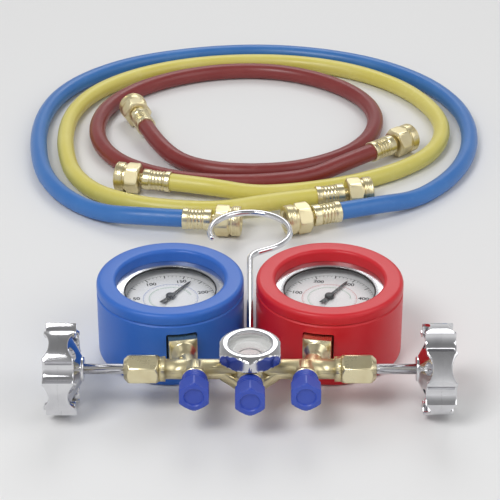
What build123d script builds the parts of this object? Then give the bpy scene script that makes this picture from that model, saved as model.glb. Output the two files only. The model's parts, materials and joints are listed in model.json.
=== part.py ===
"""Two-valve refrigerant manifold gauge with its three charging hoses.

Millimetres, +Z up. The manifold lies on the flat backs of its two gauges: dials up, capped ports
towards -Y, hanging hook towards +Y, one handwheel at each end of the bar along X.
"""

from build123d import *
import os
from math import atan2, cos, degrees, hypot, pi, radians, sin, sqrt, tan

os.makedirs("parts", exist_ok=True)

# ---- Fits -----------------------------------------------------------------
RUN_FIT = 0.05  # radial clearance of a shaft that turns or slides in its bore
LOOSE = 0.3  # clearance between faces on pieces that move past each other

# ---- Bar, valves and handwheels ----------------------------------------------
BAR_R = 5.3
BODY_HALF = 47.5  # half the bar's length, to the packing nuts' faces
END_COLLAR_R = 6.6
END_COLLAR_LEN = 3.5
SPIGOT_R = 4.8  # threaded spigot inside a packing nut
SPIGOT_LEN = 7.5
CHAMBER_R = 3.4  # valve chamber bore
SEAT_X = 20.0  # valve seat, from the middle
PASSAGE_R = 1.6  # drilled passages
STEM_R = 2.75
STEM_TIP_R = 1.5
STEM_TIP_LEN = 2.2
DISC_R = 3.0  # seat disc on the stem's tip
DISC_LEN = 3.4
PACKING_LEN = 5.0
PACKING_NUT_LEN = 18.0
PACKING_NUT_AF = 14.5
PACKING_NUT_CHAMFER = 1.6

WHEEL_R = 24.0
WHEEL_FLOOR_GAP = 0.5
WHEEL_LOBES = 5
WHEEL_LIP_X = BODY_HALF + 42.3  # inner edge of the rim, from the middle
WHEEL_LIP_WIDTH = 16.0
WHEEL_WALL = 2.3
WHEEL_NOTCH_R = 6.0
WHEEL_NOTCH_FILLET = 1.8
WHEEL_INNER_FILLET = 0.6
WHEEL_NOTCH_PROUD = 1.6  # notch centre stands outside the rim circle by this
WHEEL_SADDLE_R = 12.0
WHEEL_SADDLE_DEPTH = 3.0
WHEEL_HUB_R = 6.5
WHEEL_HUB_LEN = 12.0
WHEEL_HUB_PROUD = 3.8  # hub stands inboard of the rim by this
WHEEL_WEB = 1.8
WEB_START = 1.2  # web's inner face from the hub's face
WHEEL_WINDOW_R = 3.4
WHEEL_WINDOW_PITCH_R = 14.0
WHEEL_PHASE = {"low": 29.0, "high": 33.0 + 36.0}  # a notch's angle above -Y, degrees
TANG_AF = 4.0
SCREW_R = 1.25
SCREW_LEN = 6.0
SCREW_HEAD_R = 3.4
SCREW_HEAD_LEN = 2.2
SCREW_HEAD_FILLET = 0.7
SCREW_SLOT = 0.9

# ---- Ports and caps ----------------------------------------------------------
PORT_IN = 19.0  # port's axis in from the bar's end
PORT_X = BODY_HALF - PORT_IN
SIDE_BOSS_LEN = 7.6  # from the bar's axis to the port's collar
CENTRE_BOSS_LEN = 12.0
BOSS_R = 6.2
CENTRE_BOSS_R = 7.2
PORT_SHANK_R = 4.0
PORT_SHANK_LEN = 3.5
COLLAR_LEN = 1.9
COLLAR_R = 6.4
FLARE_THREAD_R = 5.55  # 7/16 in flare thread
FLARE_THREAD_LEN = 10.5
FLARE_NOSE_LEN = 2.4
FLARE_NOSE_R = 3.3
FLARE_BORE_R = 2.4
CAP_NECK_R = 6.7
CAP_NECK_LEN = 8.0
CAP_AF = 15.2
CAP_HEX_LEN = 9.0
CAP_END_WALL = 2.2
CAP_DISH_R = 5.0
CAP_DISH = 1.0
CAP_CHAMFER = 0.7
GUSSET_HALF = 15.5
GUSSET_THICK = 5.0
GUSSET_LEG = 3.2
GUSSET_FOOT = 4.2

# ---- Sight glass -------------------------------------------------------------
GLASS_NECK_R = 9.0
GLASS_SEAT_Z = 7.0  # nut's underside above the bar's axis
GLASS_SPIGOT_R = 13.2
GLASS_SPIGOT_LEN = 3.2
GLASS_WELL_R = 10.0
GLASS_WELL_DEPTH = 2.4
GLASS_NUT_AF = 31.5
GLASS_NUT_LEN = 9.4
GLASS_NUT_CHAMFER = 2.4  # height of the chamfers
GLASS_NUT_FOOT_IN = 3.4
GLASS_NUT_TOP_IN = 4.9
GLASS_WINDOW_R = 11.0
GLASS_LIP = 1.8
GASKET_LEN = 1.0
INDICATOR_LEN = 0.6

# ---- Hanging hook ------------------------------------------------------------
HOOK_WIRE_R = 1.85
HOOK_LOOP_R = 23.5
HOOK_LOOP_Y = 147.0  # loop's centre behind the bar's axis
HOOK_LEAD_ANGLE = -60.0  # where the loop leaves the straight lead, degrees from +X
HOOK_TIP_ANGLE = 198.0
HOOK_BEND_R = 10.0
HOOK_BOSS_LEN = 13.0
HOOK_POCKET_R = 4.5
HOOK_POCKET_DEPTH = 7.0
HOOK_HEAD_R = 3.2
HOOK_HEAD_LEN = 2.0
HOOK_BUSH_IN = 3.5
HOOK_BUSH_FLANGE = 4.0
HOOK_BUSH_AF = 11.0

# ---- Gauges ------------------------------------------------------------------
CASE_R = 34.0
CASE_WALL = 1.2
HOOK_SIDE_GAP = 1.45  # between the hook's shank and each boot
SOCKET_X = BODY_HALF - 15.5  # where the socket's axis meets the bar
BOOT_WALL = 6.0
BOOT_R = CASE_R + BOOT_WALL
GAUGE_X = BOOT_R + HOOK_WIRE_R + HOOK_SIDE_GAP
GAUGE_BACK = BOOT_R + 20.0  # gauge centre behind the bar's axis
BOOT_ABOVE_BAR = 20.0  # boot's rim above the bar's axis
BOOT_FLOOR = 3.0
BOOT_OPENING_R = CASE_R - 4.5
BOOT_LIP = 6.9
BOOT_BASE_FILLET = 3.0
BOOT_RIM_FILLET = 4.8
BOOT_MOUTH_FILLET = 2.2
BOOT_GROOVE_R = 0.8
BOOT_GROOVE_DROP = 6.6  # groove below the rim
BOOT_SLOT_GAP = 0.8
LENS_LEN = 2.0
BEZEL_LIP_R = CASE_R - 8.8
BEZEL_LEN = 1.4
BEZEL_LIP_LEN = 0.5
BEZEL_FLAT = 1.0
DIAL_R = CASE_R - 2.0
DIAL_LEN = 0.8
DIAL_DROP = 3.0  # dial's face below the lens
NECK_R = 5.0
SOCKET_AF = 15.0
SOCKET_SQUARE_LEN = 11.0
SOCKET_TAPER_LEN = 5.0
SOCKET_CHAMFER = 0.8
SOCKET_TAIL_R = 4.2
SOCKET_SPIGOT_R = 3.2
SOCKET_SPIGOT_LEN = 3.0
SOCKET_BOSS_LEN = 6.6
BLOCK_OUT_R = CASE_R - 6.0
BLOCK_CLEAR = 1.3  # between the socket block and the sector's hub
BLOCK_HALF_ANGLE = 15.0
BLOCK_BELOW = 5.6  # socket block below and above the socket's axis
BLOCK_ABOVE = 5.4
TUBE_R = CASE_R - 11.0  # bourdon tube's mean radius
TUBE_THICK = 3.0
TUBE_DEPTH = 9.0
TUBE_ARC = 235.0
TUBE_TIP_ARC = 7.0
TUBE_TIP_PROUD = 0.5

# ---- Gauge movement ------------------------------------------------------------
MODULE = 0.25
PINION_TEETH = 12
SECTOR_TEETH = 96  # on a full circle
SECTOR_CUT_TEETH = 14
SECTOR_CENTRE_TILT = 4.0  # degrees from the line of centres, at rest
TOOTH_SHARE = 0.38  # tooth thickness over pitch
TOOTH_DEPTH = 1.25  # root below the pitch line, in modules
PRESSURE_ANGLE = 20.0
ROOT_FLARE = 0.6
ARBOR_R = 0.8
GEAR_LEN = 1.6
SECTOR_HUB_R = 2.2
SECTOR_HOLE_R = 2.7
SECTOR_HOLE_PLACE = 0.64  # share of the pitch radius
PLATE_LEN = 1.2
PLATE_WIDTH = 15.0
PLATE_TOP = 6.0
PLATE_CORNER_R = 2.0
FRAME_GAP = 7.8  # between the plates
FRAME_TOP_DROP = 6.0  # top plate's face below the dial
PILLAR_R = 1.0
PILLAR_X = 6.0
PILLAR_Y = (3.5, -10.0)
POINTER_LEN = DIAL_R - 12.5
POINTER_TAIL = 8.0
POINTER_TIP_LEN = 2.0
POINTER_TAIL_HALF = 1.5
POINTER_ROOT_HALF = 0.9
POINTER_TIP_HALF = 0.55
POINTER_LIFT = 1.0  # pointer above the dial
POINTER_THICK = 0.5
POINTER_HUB_R = 2.6
POINTER_HUB_LEN = 1.6
POINTER_REST = 33.0  # degrees clockwise from 12 o'clock

# ---- Hoses ---------------------------------------------------------------------
HOSE_R = 5.5
HOSE_BACK = 336.0  # middle of the hose loops behind the bar's axis
FERRULE_R = 6.6
FERRULE_LEN = 18.0
STEM_NECK_R = 3.4
SWIVEL_NECK_LEN = 7.0
FLANGE_R = 4.8
FLANGE_LEN = 2.0
CONE_LEN = 2.5
CONE_R = 3.0
HOSE_BORE_R = 2.0
HOSE_NUT_AF = 17.0
HOSE_NUT_LEN = 16.0
HOSE_NUT_HEX = 9.0
HOSE_NUT_ROUND_R = 9.2
HOSE_NUT_START = 2.0  # nut's back face past the ferrule
HOSE_THREAD_R = 5.6
HOSE_THREAD_LEN = 6.2
HOSE_RELIEF_R = 6.0  # relief behind the thread, round the flange
HOSE_AXIS_AT_NUT = 10.0  # height of a nut's axis above the floor
HOSE_ROUTES = {
    "red": [
        (-69.5, -18), (-61.5, -42), (-45.5, -61.3), (-23.3, -73), (1.8, -75.7), (27.5, -72.5), (51, -61),
        (70, -44), (82, -21), (86.5, 5), (81, 31), (66, 54), (44, 72), (17, 83), (-12, 84), (-40, 77),
        (-64, 64), (-84, 46), (-99, 21), (-104, -7), (-100, -35), (-87, -60), (-66, -77), (-40, -88),
        (-12, -91), (15, -89), (40, -82), (61, -71), (79, -56),
    ],
    "yellow": [
        (-50, -98), (-25, -104), (2, -106), (28, -103), (53, -96), (76, -86), (98, -72), (117, -53),
        (128, -28), (130, 0), (122, 28), (107, 54), (84, 76), (57, 91), (26, 99), (-6, 100),
        (-38, 95), (-68, 83), (-93, 65), (-112, 41), (-122, 12), (-124, -19), (-121, -49), (-114, -79),
        (-98, -104), (-73, -119), (-44, -126), (-15, -127), (14, -124), (41, -118),
    ],
    "blue": [
        (55, -137), (80, -128), (103, -114), (122, -94), (136, -70), (145, -42), (148, -11), (144, 21),
        (131, 52), (109, 79), (81, 99), (48, 112), (13, 118), (-22, 116), (-55, 108), (-86, 95),
        (-112, 74), (-131, 47), (-140, 16), (-142, -16), (-139, -49), (-132, -81), (-117, -110), (-94, -131),
        (-68, -143), (-41, -146),
    ],
}

# ---- Places worked out from the sizes ------------------------------------------
PACKING_NUT_END = BODY_HALF + PACKING_NUT_LEN
BAR_Z = WHEEL_R + WHEEL_FLOOR_GAP
BOOT_HEIGHT = BAR_Z + BOOT_ABOVE_BAR
CAP_LEN = CAP_NECK_LEN + CAP_HEX_LEN
FRONT_REACH = CENTRE_BOSS_LEN + COLLAR_LEN + LOOSE + CAP_LEN
BACK_REACH = HOOK_LOOP_Y + HOOK_LOOP_R + HOOK_WIRE_R
BAR_Y = (FRONT_REACH - BACK_REACH) / 2
GAUGE_Y = BAR_Y + GAUGE_BACK
SPLAY = degrees(atan2(GAUGE_X - SOCKET_X, GAUGE_BACK))
SOCKET_REACH = hypot(GAUGE_X - SOCKET_X, GAUGE_BACK)  # gauge centre to the bar's axis
CASE_TOP = BOOT_HEIGHT - BOOT_LIP - BEZEL_LEN
LENS_BASE = CASE_TOP - LENS_LEN
DIAL_TOP = LENS_BASE - DIAL_DROP
FRAME_TOP = DIAL_TOP - DIAL_LEN - FRAME_TOP_DROP
FRAME_BASE = FRAME_TOP - FRAME_GAP - 2 * PLATE_LEN
GEAR_Z = FRAME_TOP - PLATE_LEN - FRAME_GAP / 2
PINION_R = MODULE * PINION_TEETH / 2
SECTOR_R = MODULE * SECTOR_TEETH / 2
SECTOR_PIVOT = PINION_R + SECTOR_R  # below the pointer's arbor
BLOCK_IN_R = SECTOR_PIVOT + SECTOR_HUB_R + BLOCK_CLEAR
HUB_X = WHEEL_LIP_X - WHEEL_HUB_PROUD
RIM_END = WHEEL_HUB_PROUD + WHEEL_LIP_WIDTH
RIM_MIDDLE = WHEEL_HUB_PROUD + WHEEL_LIP_WIDTH / 2
WEB_SIDES = (  # web's face at the hub and at the rim, and the clear side beyond it
    (WEB_START, RIM_MIDDLE - WHEEL_WEB / 2, -1),
    (WEB_START + WHEEL_WEB, RIM_MIDDLE + WHEEL_WEB / 2, RIM_END + 1),
)
SQUARE_FROM = CASE_R + LOOSE
SQUARE_TO = SQUARE_FROM + SOCKET_SQUARE_LEN
TAIL_FROM = SQUARE_TO + SOCKET_TAPER_LEN
TAIL_TO = SOCKET_REACH - SOCKET_BOSS_LEN
FLANGE_END = FERRULE_LEN + SWIVEL_NECK_LEN + FLANGE_LEN
SIDES = {"low": -1, "high": 1}


def write(piece, node):
    """Labels a finished piece with its node's name and writes its STEP file."""
    piece.part.label = node
    export_step(piece.part, f"parts/{node}.step")


def bar_end(side, distance):
    """Plane across the bar at a distance from the middle, facing outwards on that side."""
    return Plane(origin=(side * distance, BAR_Y, BAR_Z), x_dir=(0, -1, 0), z_dir=(side, 0, 0))


def gauge_plane(side, height=0.0):
    """Horizontal plane at a gauge's centre whose -Y points along the gauge's socket to the bar."""
    turn = radians(-side * SPLAY)
    return Plane(origin=(side * GAUGE_X, GAUGE_Y, height), x_dir=(cos(turn), sin(turn), 0), z_dir=(0, 0, 1))


def gauge_section(side, angle=0.0):
    """Upright plane through a gauge's axis, with its x along the radius at an angle from 3 o'clock."""
    base = gauge_plane(side)
    out = base.x_dir * cos(radians(angle)) + base.y_dir * sin(radians(angle))
    return Plane(origin=base.origin, x_dir=out, z_dir=out.cross(Vector(0, 0, 1)))


def gauge_axis(side):
    """Axis of a gauge's dial, upwards."""
    return Axis((side * GAUGE_X, GAUGE_Y, 0), (0, 0, 1))


def gauge_axis_out(side):
    """Axis from a gauge's centre along its socket, towards the bar."""
    base = gauge_plane(side, BAR_Z)
    return Axis(base.origin, -base.y_dir)


def socket_plane(side, distance):
    """Plane across a gauge's socket at a distance from the gauge's axis, facing the bar."""
    base = gauge_plane(side, BAR_Z)
    return Plane(origin=base.origin - base.y_dir * distance, x_dir=base.x_dir, z_dir=-base.y_dir)


def port_plane(x, distance):
    """Plane across a port at a distance in front of the bar's axis, facing -Y."""
    return Plane(origin=(x, BAR_Y - distance, BAR_Z), x_dir=(1, 0, 0), z_dir=(0, -1, 0))


def draw_lobes(outline, inset):
    """Draws a handwheel's lobed outline in an open sketch, drawn in all round by inset."""
    Circle(WHEEL_R - inset)
    with PolarLocations(WHEEL_R + WHEEL_NOTCH_PROUD, WHEEL_LOBES):
        Circle(WHEEL_NOTCH_R + inset, mode=Mode.SUBTRACT)
    fillet(outline.vertices(), max(WHEEL_NOTCH_FILLET - inset, WHEEL_INNER_FILLET))


# ---- Manifold body -------------------------------------------------------------
with BuildPart() as manifold_body:
    with BuildSketch(bar_end(1, -BODY_HALF)):
        Circle(BAR_R)
    extrude(amount=2 * BODY_HALF)
    for side in SIDES.values():
        with BuildSketch(bar_end(side, BODY_HALF - END_COLLAR_LEN)):
            Circle(END_COLLAR_R)
        extrude(amount=END_COLLAR_LEN)
        with BuildSketch(bar_end(side, BODY_HALF)):
            Circle(SPIGOT_R)
        extrude(amount=SPIGOT_LEN)
        with BuildSketch(socket_plane(side, SOCKET_REACH)):
            Circle(BAR_R)
        extrude(amount=-SOCKET_BOSS_LEN)
        with BuildSketch(port_plane(side * PORT_X, 0)):
            Circle(BOSS_R)
        extrude(amount=SIDE_BOSS_LEN)
    with BuildSketch(port_plane(0, 0)):
        Circle(CENTRE_BOSS_R)
    extrude(amount=CENTRE_BOSS_LEN)
    with BuildSketch(port_plane(0, 0)):
        Circle(BOSS_R)
    extrude(amount=-HOOK_BOSS_LEN)
    with BuildSketch(Plane((0, BAR_Y, BAR_Z))):
        Circle(GLASS_NECK_R)
    extrude(amount=GLASS_SEAT_Z)
    with BuildSketch(Plane((0, BAR_Y, BAR_Z + GLASS_SEAT_Z))):
        Circle(GLASS_SPIGOT_R)
    extrude(amount=GLASS_SPIGOT_LEN)
    # The gusset: two slanting legs from the bar to the centre port, open between leg and boss.
    with BuildSketch(Plane((0, BAR_Y, BAR_Z - GUSSET_THICK))):
        with BuildLine():
            Polyline(
                (-GUSSET_HALF, -BAR_R / 2), (GUSSET_HALF, -BAR_R / 2), (CENTRE_BOSS_R, -CENTRE_BOSS_LEN),
                (-CENTRE_BOSS_R, -CENTRE_BOSS_LEN), close=True,
            )
        make_face()
        for side in SIDES.values():
            with BuildLine():
                Polyline(
                    (side * (CENTRE_BOSS_R), -BAR_R),
                    (side * (GUSSET_HALF - GUSSET_FOOT), -BAR_R),
                    (side * (CENTRE_BOSS_R), -CENTRE_BOSS_LEN + GUSSET_LEG),
                    close=True,
                )
            make_face(mode=Mode.SUBTRACT)
    extrude(amount=GUSSET_THICK)
    # Bores: valve chambers, the passage between the seats, and a drilling to each port, gauge and the glass.
    for side in SIDES.values():
        with BuildSketch(bar_end(side, SEAT_X)):
            Circle(CHAMBER_R)
        extrude(amount=BODY_HALF + SPIGOT_LEN - SEAT_X, mode=Mode.SUBTRACT)
        with BuildSketch(port_plane(side * PORT_X, SIDE_BOSS_LEN)):
            Circle(PORT_SHANK_R)
        extrude(amount=-PORT_SHANK_LEN, mode=Mode.SUBTRACT)
        with BuildSketch(port_plane(side * PORT_X, 0)):
            Circle(PASSAGE_R)
        extrude(amount=SIDE_BOSS_LEN, mode=Mode.SUBTRACT)
        with BuildSketch(socket_plane(side, SOCKET_REACH - SOCKET_BOSS_LEN)):
            Circle(SOCKET_SPIGOT_R)
        extrude(amount=SOCKET_SPIGOT_LEN, mode=Mode.SUBTRACT)
        with BuildSketch(socket_plane(side, SOCKET_REACH)):
            Circle(PASSAGE_R)
        extrude(amount=-SOCKET_BOSS_LEN, mode=Mode.SUBTRACT)
    with BuildSketch(bar_end(1, -SEAT_X)):
        Circle(PASSAGE_R)
    extrude(amount=2 * SEAT_X, mode=Mode.SUBTRACT)
    with BuildSketch(port_plane(0, CENTRE_BOSS_LEN)):
        Circle(PORT_SHANK_R)
    extrude(amount=-PORT_SHANK_LEN, mode=Mode.SUBTRACT)
    with BuildSketch(port_plane(0, 0)):
        Circle(PASSAGE_R)
    extrude(amount=CENTRE_BOSS_LEN, mode=Mode.SUBTRACT)
    with BuildSketch(port_plane(0, -HOOK_BOSS_LEN)):
        Circle(HOOK_POCKET_R)
    extrude(amount=HOOK_POCKET_DEPTH, mode=Mode.SUBTRACT)
    with BuildSketch(Plane((0, BAR_Y, BAR_Z + GLASS_SEAT_Z + GLASS_SPIGOT_LEN))):
        Circle(GLASS_WELL_R)
    extrude(amount=-GLASS_WELL_DEPTH, mode=Mode.SUBTRACT)
    with BuildSketch(Plane((0, BAR_Y, BAR_Z))):
        Circle(PASSAGE_R)
    extrude(amount=GLASS_SEAT_Z + GLASS_SPIGOT_LEN, mode=Mode.SUBTRACT)
write(manifold_body, "manifold_body")

# ---- Packing nuts and packings ---------------------------------------------------
for name, side in SIDES.items():
    with BuildPart() as packing_nut:
        with BuildSketch(bar_end(side, BODY_HALF)):
            RegularPolygon(PACKING_NUT_AF / 2, 6, major_radius=False)
        extrude(amount=PACKING_NUT_LEN)
        corner = PACKING_NUT_AF / sqrt(3)
        with BuildSketch(Plane(origin=(0, BAR_Y, BAR_Z), x_dir=(side, 0, 0), z_dir=(0, -side, 0))):
            with BuildLine():
                Polyline(
                    (BODY_HALF, 0),
                    (BODY_HALF, corner - PACKING_NUT_CHAMFER),
                    (BODY_HALF + PACKING_NUT_CHAMFER, corner),
                    (PACKING_NUT_END - 2 * PACKING_NUT_CHAMFER, corner),
                    (PACKING_NUT_END, corner - 2 * PACKING_NUT_CHAMFER),
                    (PACKING_NUT_END, 0),
                    close=True,
                )
            make_face()
        revolve(axis=Axis((0, BAR_Y, BAR_Z), (1, 0, 0)), mode=Mode.INTERSECT)
        with BuildSketch(bar_end(side, BODY_HALF)):
            Circle(SPIGOT_R)
        extrude(amount=SPIGOT_LEN + PACKING_LEN, mode=Mode.SUBTRACT)
        with BuildSketch(bar_end(side, BODY_HALF)):
            Circle(STEM_R + RUN_FIT)
        extrude(amount=PACKING_NUT_LEN, mode=Mode.SUBTRACT)
    write(packing_nut, f"{name}_packing_nut")

with BuildPart() as stem_packings:
    for side in SIDES.values():
        with BuildSketch(bar_end(side, BODY_HALF + SPIGOT_LEN)):
            Circle(SPIGOT_R)
            Circle(STEM_R + RUN_FIT, mode=Mode.SUBTRACT)
        extrude(amount=PACKING_LEN)
write(stem_packings, "stem_packings")

# ---- Valve discs, stems, handwheels and their screws ------------------------------
DISC_X = SEAT_X + LOOSE
STEM_X = DISC_X + DISC_LEN + LOOSE
for name, side in SIDES.items():
    with BuildPart() as valve_disc:
        with BuildSketch(bar_end(side, DISC_X)):
            Circle(DISC_R)
        extrude(amount=DISC_LEN)
        with BuildSketch(bar_end(side, DISC_X + DISC_LEN)):
            Circle(STEM_TIP_R + RUN_FIT)
        extrude(amount=-STEM_TIP_LEN, mode=Mode.SUBTRACT)
    write(valve_disc, f"{name}_valve_disc")

    with BuildPart() as valve_stem:
        with BuildSketch(bar_end(side, STEM_X)):
            Circle(STEM_R)
        extrude(amount=HUB_X - STEM_X)
        with BuildSketch(bar_end(side, STEM_X)):
            Circle(STEM_TIP_R)
        extrude(amount=-STEM_TIP_LEN)
        with BuildSketch(bar_end(side, HUB_X)):
            Rectangle(TANG_AF, TANG_AF)
        extrude(amount=WHEEL_HUB_LEN)
        with BuildSketch(bar_end(side, HUB_X + WHEEL_HUB_LEN)):
            Circle(SCREW_R)
        extrude(amount=-SCREW_LEN, mode=Mode.SUBTRACT)
    write(valve_stem, f"{name}_valve_stem")

    phase = radians(WHEEL_PHASE[name])
    notch_dir = Vector(0, -cos(phase), sin(phase))
    hub_face = Plane(origin=(side * HUB_X, BAR_Y, BAR_Z), x_dir=notch_dir, z_dir=(side, 0, 0))
    rim_face = hub_face.offset(WHEEL_HUB_PROUD)
    lobe_angles = [(turn + 0.5) * 360 / WHEEL_LOBES for turn in range(WHEEL_LOBES)]
    with BuildPart() as handwheel:
        # Conical web: a lobed block with the space on each side of the cone turned out of it.
        with BuildSketch(hub_face) as outline:
            draw_lobes(outline, WHEEL_WALL / 2)
        extrude(amount=RIM_END)
        section = Plane(origin=hub_face.origin, x_dir=notch_dir, z_dir=notch_dir.cross(Vector(side, 0, 0)))
        for near, far, beyond in WEB_SIDES:
            with BuildSketch(section):
                with BuildLine():
                    Polyline(
                        (0, beyond), (0, near), (WHEEL_HUB_R, near), (WHEEL_R, far), (WHEEL_R, beyond),
                        close=True,
                    )
                make_face()
            revolve(axis=Axis((0, BAR_Y, BAR_Z), (side, 0, 0)), mode=Mode.SUBTRACT)
        with BuildSketch(hub_face):
            with PolarLocations(WHEEL_WINDOW_PITCH_R, WHEEL_LOBES, start_angle=lobe_angles[0]):
                Circle(WHEEL_WINDOW_R)
        extrude(amount=RIM_END, mode=Mode.SUBTRACT)
        with BuildSketch(rim_face, mode=Mode.PRIVATE) as rim:
            draw_lobes(rim, 0)
        with BuildSketch(rim_face, mode=Mode.PRIVATE) as hollow:
            draw_lobes(hollow, WHEEL_WALL)
        extrude(rim.sketch - hollow.sketch, amount=WHEEL_LIP_WIDTH)
        # Both edges of the rim dip at the middle of each lobe, where the fingers sit.
        for angle in lobe_angles:
            across = hub_face.x_dir * cos(radians(angle)) + hub_face.y_dir * sin(radians(angle))
            for edge, away in ((WHEEL_HUB_PROUD, -1), (RIM_END, 1)):
                centre = edge + away * (WHEEL_SADDLE_R - WHEEL_SADDLE_DEPTH)
                inside = hub_face.origin + across * (WHEEL_WINDOW_PITCH_R + WHEEL_WINDOW_R)
                dip = Plane(origin=inside + hub_face.z_dir * centre, x_dir=hub_face.z_dir, z_dir=across)
                with BuildSketch(dip):
                    Circle(WHEEL_SADDLE_R)
                extrude(amount=WHEEL_R, mode=Mode.SUBTRACT)
        with BuildSketch(hub_face):
            Circle(WHEEL_HUB_R)
        extrude(amount=WHEEL_HUB_LEN)
        with BuildSketch(bar_end(side, HUB_X)):
            Rectangle(TANG_AF, TANG_AF)
        extrude(amount=WHEEL_HUB_LEN, mode=Mode.SUBTRACT)
    write(handwheel, f"{name}_handwheel")

    with BuildPart() as wheel_screw:
        with BuildSketch(bar_end(side, HUB_X + WHEEL_HUB_LEN)):
            Circle(SCREW_HEAD_R)
        extrude(amount=SCREW_HEAD_LEN)
        fillet(wheel_screw.edges().group_by(Axis.X)[-1 if side > 0 else 0], SCREW_HEAD_FILLET)
        with BuildSketch(bar_end(side, HUB_X + WHEEL_HUB_LEN)):
            Circle(SCREW_R)
        extrude(amount=-SCREW_LEN)
        with BuildSketch(bar_end(side, HUB_X + WHEEL_HUB_LEN + SCREW_HEAD_LEN)):
            Rectangle(SCREW_SLOT, 2 * SCREW_HEAD_R)
        extrude(amount=-SCREW_HEAD_LEN / 2, mode=Mode.SUBTRACT)
    write(wheel_screw, f"{name}_wheel_screw")

# ---- Ports and their caps -----------------------------------------------------------
PORTS = {"low": (-PORT_X, SIDE_BOSS_LEN), "centre": (0, CENTRE_BOSS_LEN), "high": (PORT_X, SIDE_BOSS_LEN)}
with BuildPart() as port_fittings:
    for x, seat in PORTS.values():
        thread_end = seat + COLLAR_LEN + FLARE_THREAD_LEN
        with BuildSketch(Plane(origin=(x, BAR_Y, BAR_Z), x_dir=(0, -1, 0), z_dir=(0, 0, 1))):
            with BuildLine():
                Polyline(
                    (seat - PORT_SHANK_LEN, FLARE_BORE_R), (seat - PORT_SHANK_LEN, PORT_SHANK_R),
                    (seat, PORT_SHANK_R), (seat, COLLAR_R), (seat + COLLAR_LEN, COLLAR_R),
                    (seat + COLLAR_LEN, FLARE_THREAD_R), (thread_end, FLARE_THREAD_R),
                    (thread_end + FLARE_NOSE_LEN, FLARE_NOSE_R), (thread_end + FLARE_NOSE_LEN, FLARE_BORE_R),
                    close=True,
                )
            make_face()
        revolve(axis=Axis((x, BAR_Y, BAR_Z), (0, -1, 0)))
write(port_fittings, "port_fittings")

for name, (x, seat) in PORTS.items():
    mouth = seat + COLLAR_LEN + LOOSE
    with BuildPart() as port_cap:
        with BuildSketch(port_plane(x, mouth)):
            Circle(CAP_NECK_R)
        extrude(amount=CAP_LEN)
        with BuildSketch(port_plane(x, mouth + CAP_NECK_LEN)):
            RegularPolygon(CAP_AF / 2, 6, major_radius=False)
        extrude(amount=CAP_HEX_LEN)
        chamfer(port_cap.edges().group_by(Axis.Y)[0], CAP_CHAMFER)
        with BuildSketch(port_plane(x, mouth + CAP_LEN)):
            Circle(CAP_DISH_R)
        extrude(amount=-CAP_DISH, mode=Mode.SUBTRACT)
        with BuildSketch(port_plane(x, mouth)):
            Circle(FLARE_THREAD_R + LOOSE)
        extrude(amount=CAP_LEN - CAP_DISH - CAP_END_WALL, mode=Mode.SUBTRACT)
    write(port_cap, f"{name}_port_cap")

# ---- Sight glass -----------------------------------------------------------------------
SEAT_Z = BAR_Z + GLASS_SEAT_Z
GASKET_Z = SEAT_Z + GLASS_SPIGOT_LEN
LENS_Z = GASKET_Z + GASKET_LEN
NUT_TOP = SEAT_Z + GLASS_NUT_LEN
with BuildPart() as sight_glass_nut:
    with BuildSketch(Plane((0, BAR_Y, SEAT_Z))):
        RegularPolygon(GLASS_NUT_AF / 2, 6, major_radius=False)
    extrude(amount=GLASS_NUT_LEN)
    corner = GLASS_NUT_AF / sqrt(3)
    with BuildSketch(Plane(origin=(0, BAR_Y, 0), x_dir=(1, 0, 0), z_dir=(0, -1, 0))):
        with BuildLine():
            Polyline(
                (0, SEAT_Z), (corner - GLASS_NUT_FOOT_IN, SEAT_Z),
                (corner, SEAT_Z + GLASS_NUT_CHAMFER),
                (corner, NUT_TOP - GLASS_NUT_CHAMFER),
                (corner - GLASS_NUT_TOP_IN, NUT_TOP), (0, NUT_TOP), close=True,
            )
        make_face()
    revolve(axis=Axis((0, BAR_Y, 0), (0, 0, 1)), mode=Mode.INTERSECT)
    with BuildSketch(Plane((0, BAR_Y, SEAT_Z))):
        Circle(GLASS_SPIGOT_R)
    extrude(amount=GLASS_NUT_LEN - GLASS_LIP, mode=Mode.SUBTRACT)
    with BuildSketch(Plane((0, BAR_Y, SEAT_Z))):
        Circle(GLASS_WINDOW_R)
    extrude(amount=GLASS_NUT_LEN, mode=Mode.SUBTRACT)
write(sight_glass_nut, "sight_glass_nut")

with BuildPart() as sight_glass_gasket:
    with BuildSketch(Plane((0, BAR_Y, GASKET_Z))):
        Circle(GLASS_SPIGOT_R)
        Circle(GLASS_WELL_R, mode=Mode.SUBTRACT)
    extrude(amount=GASKET_LEN)
write(sight_glass_gasket, "sight_glass_gasket")

with BuildPart() as sight_glass_lens:
    with BuildSketch(Plane((0, BAR_Y, LENS_Z))):
        Circle(GLASS_SPIGOT_R)
    extrude(amount=NUT_TOP - GLASS_LIP - LENS_Z)
write(sight_glass_lens, "sight_glass_lens")

with BuildPart() as sight_glass_indicator:
    with BuildSketch(Plane((0, BAR_Y, GASKET_Z - GLASS_WELL_DEPTH))):
        Circle(GLASS_WELL_R)
    extrude(amount=INDICATOR_LEN)
write(sight_glass_indicator, "sight_glass_indicator")

# ---- Hanging hook and its bush -----------------------------------------------------------
with BuildPart() as hook_bush:
    with BuildSketch(port_plane(0, -HOOK_BOSS_LEN)):
        RegularPolygon(HOOK_BUSH_AF / 2, 6, major_radius=False)
    extrude(amount=-HOOK_BUSH_FLANGE)
    with BuildSketch(port_plane(0, -HOOK_BOSS_LEN)):
        Circle(HOOK_POCKET_R)
    extrude(amount=HOOK_BUSH_IN)
    with BuildSketch(port_plane(0, -HOOK_BOSS_LEN - HOOK_BUSH_FLANGE)):
        Circle(HOOK_WIRE_R + RUN_FIT)
    extrude(amount=HOOK_BUSH_IN + HOOK_BUSH_FLANGE, mode=Mode.SUBTRACT)
write(hook_bush, "hook_bush")

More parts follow.
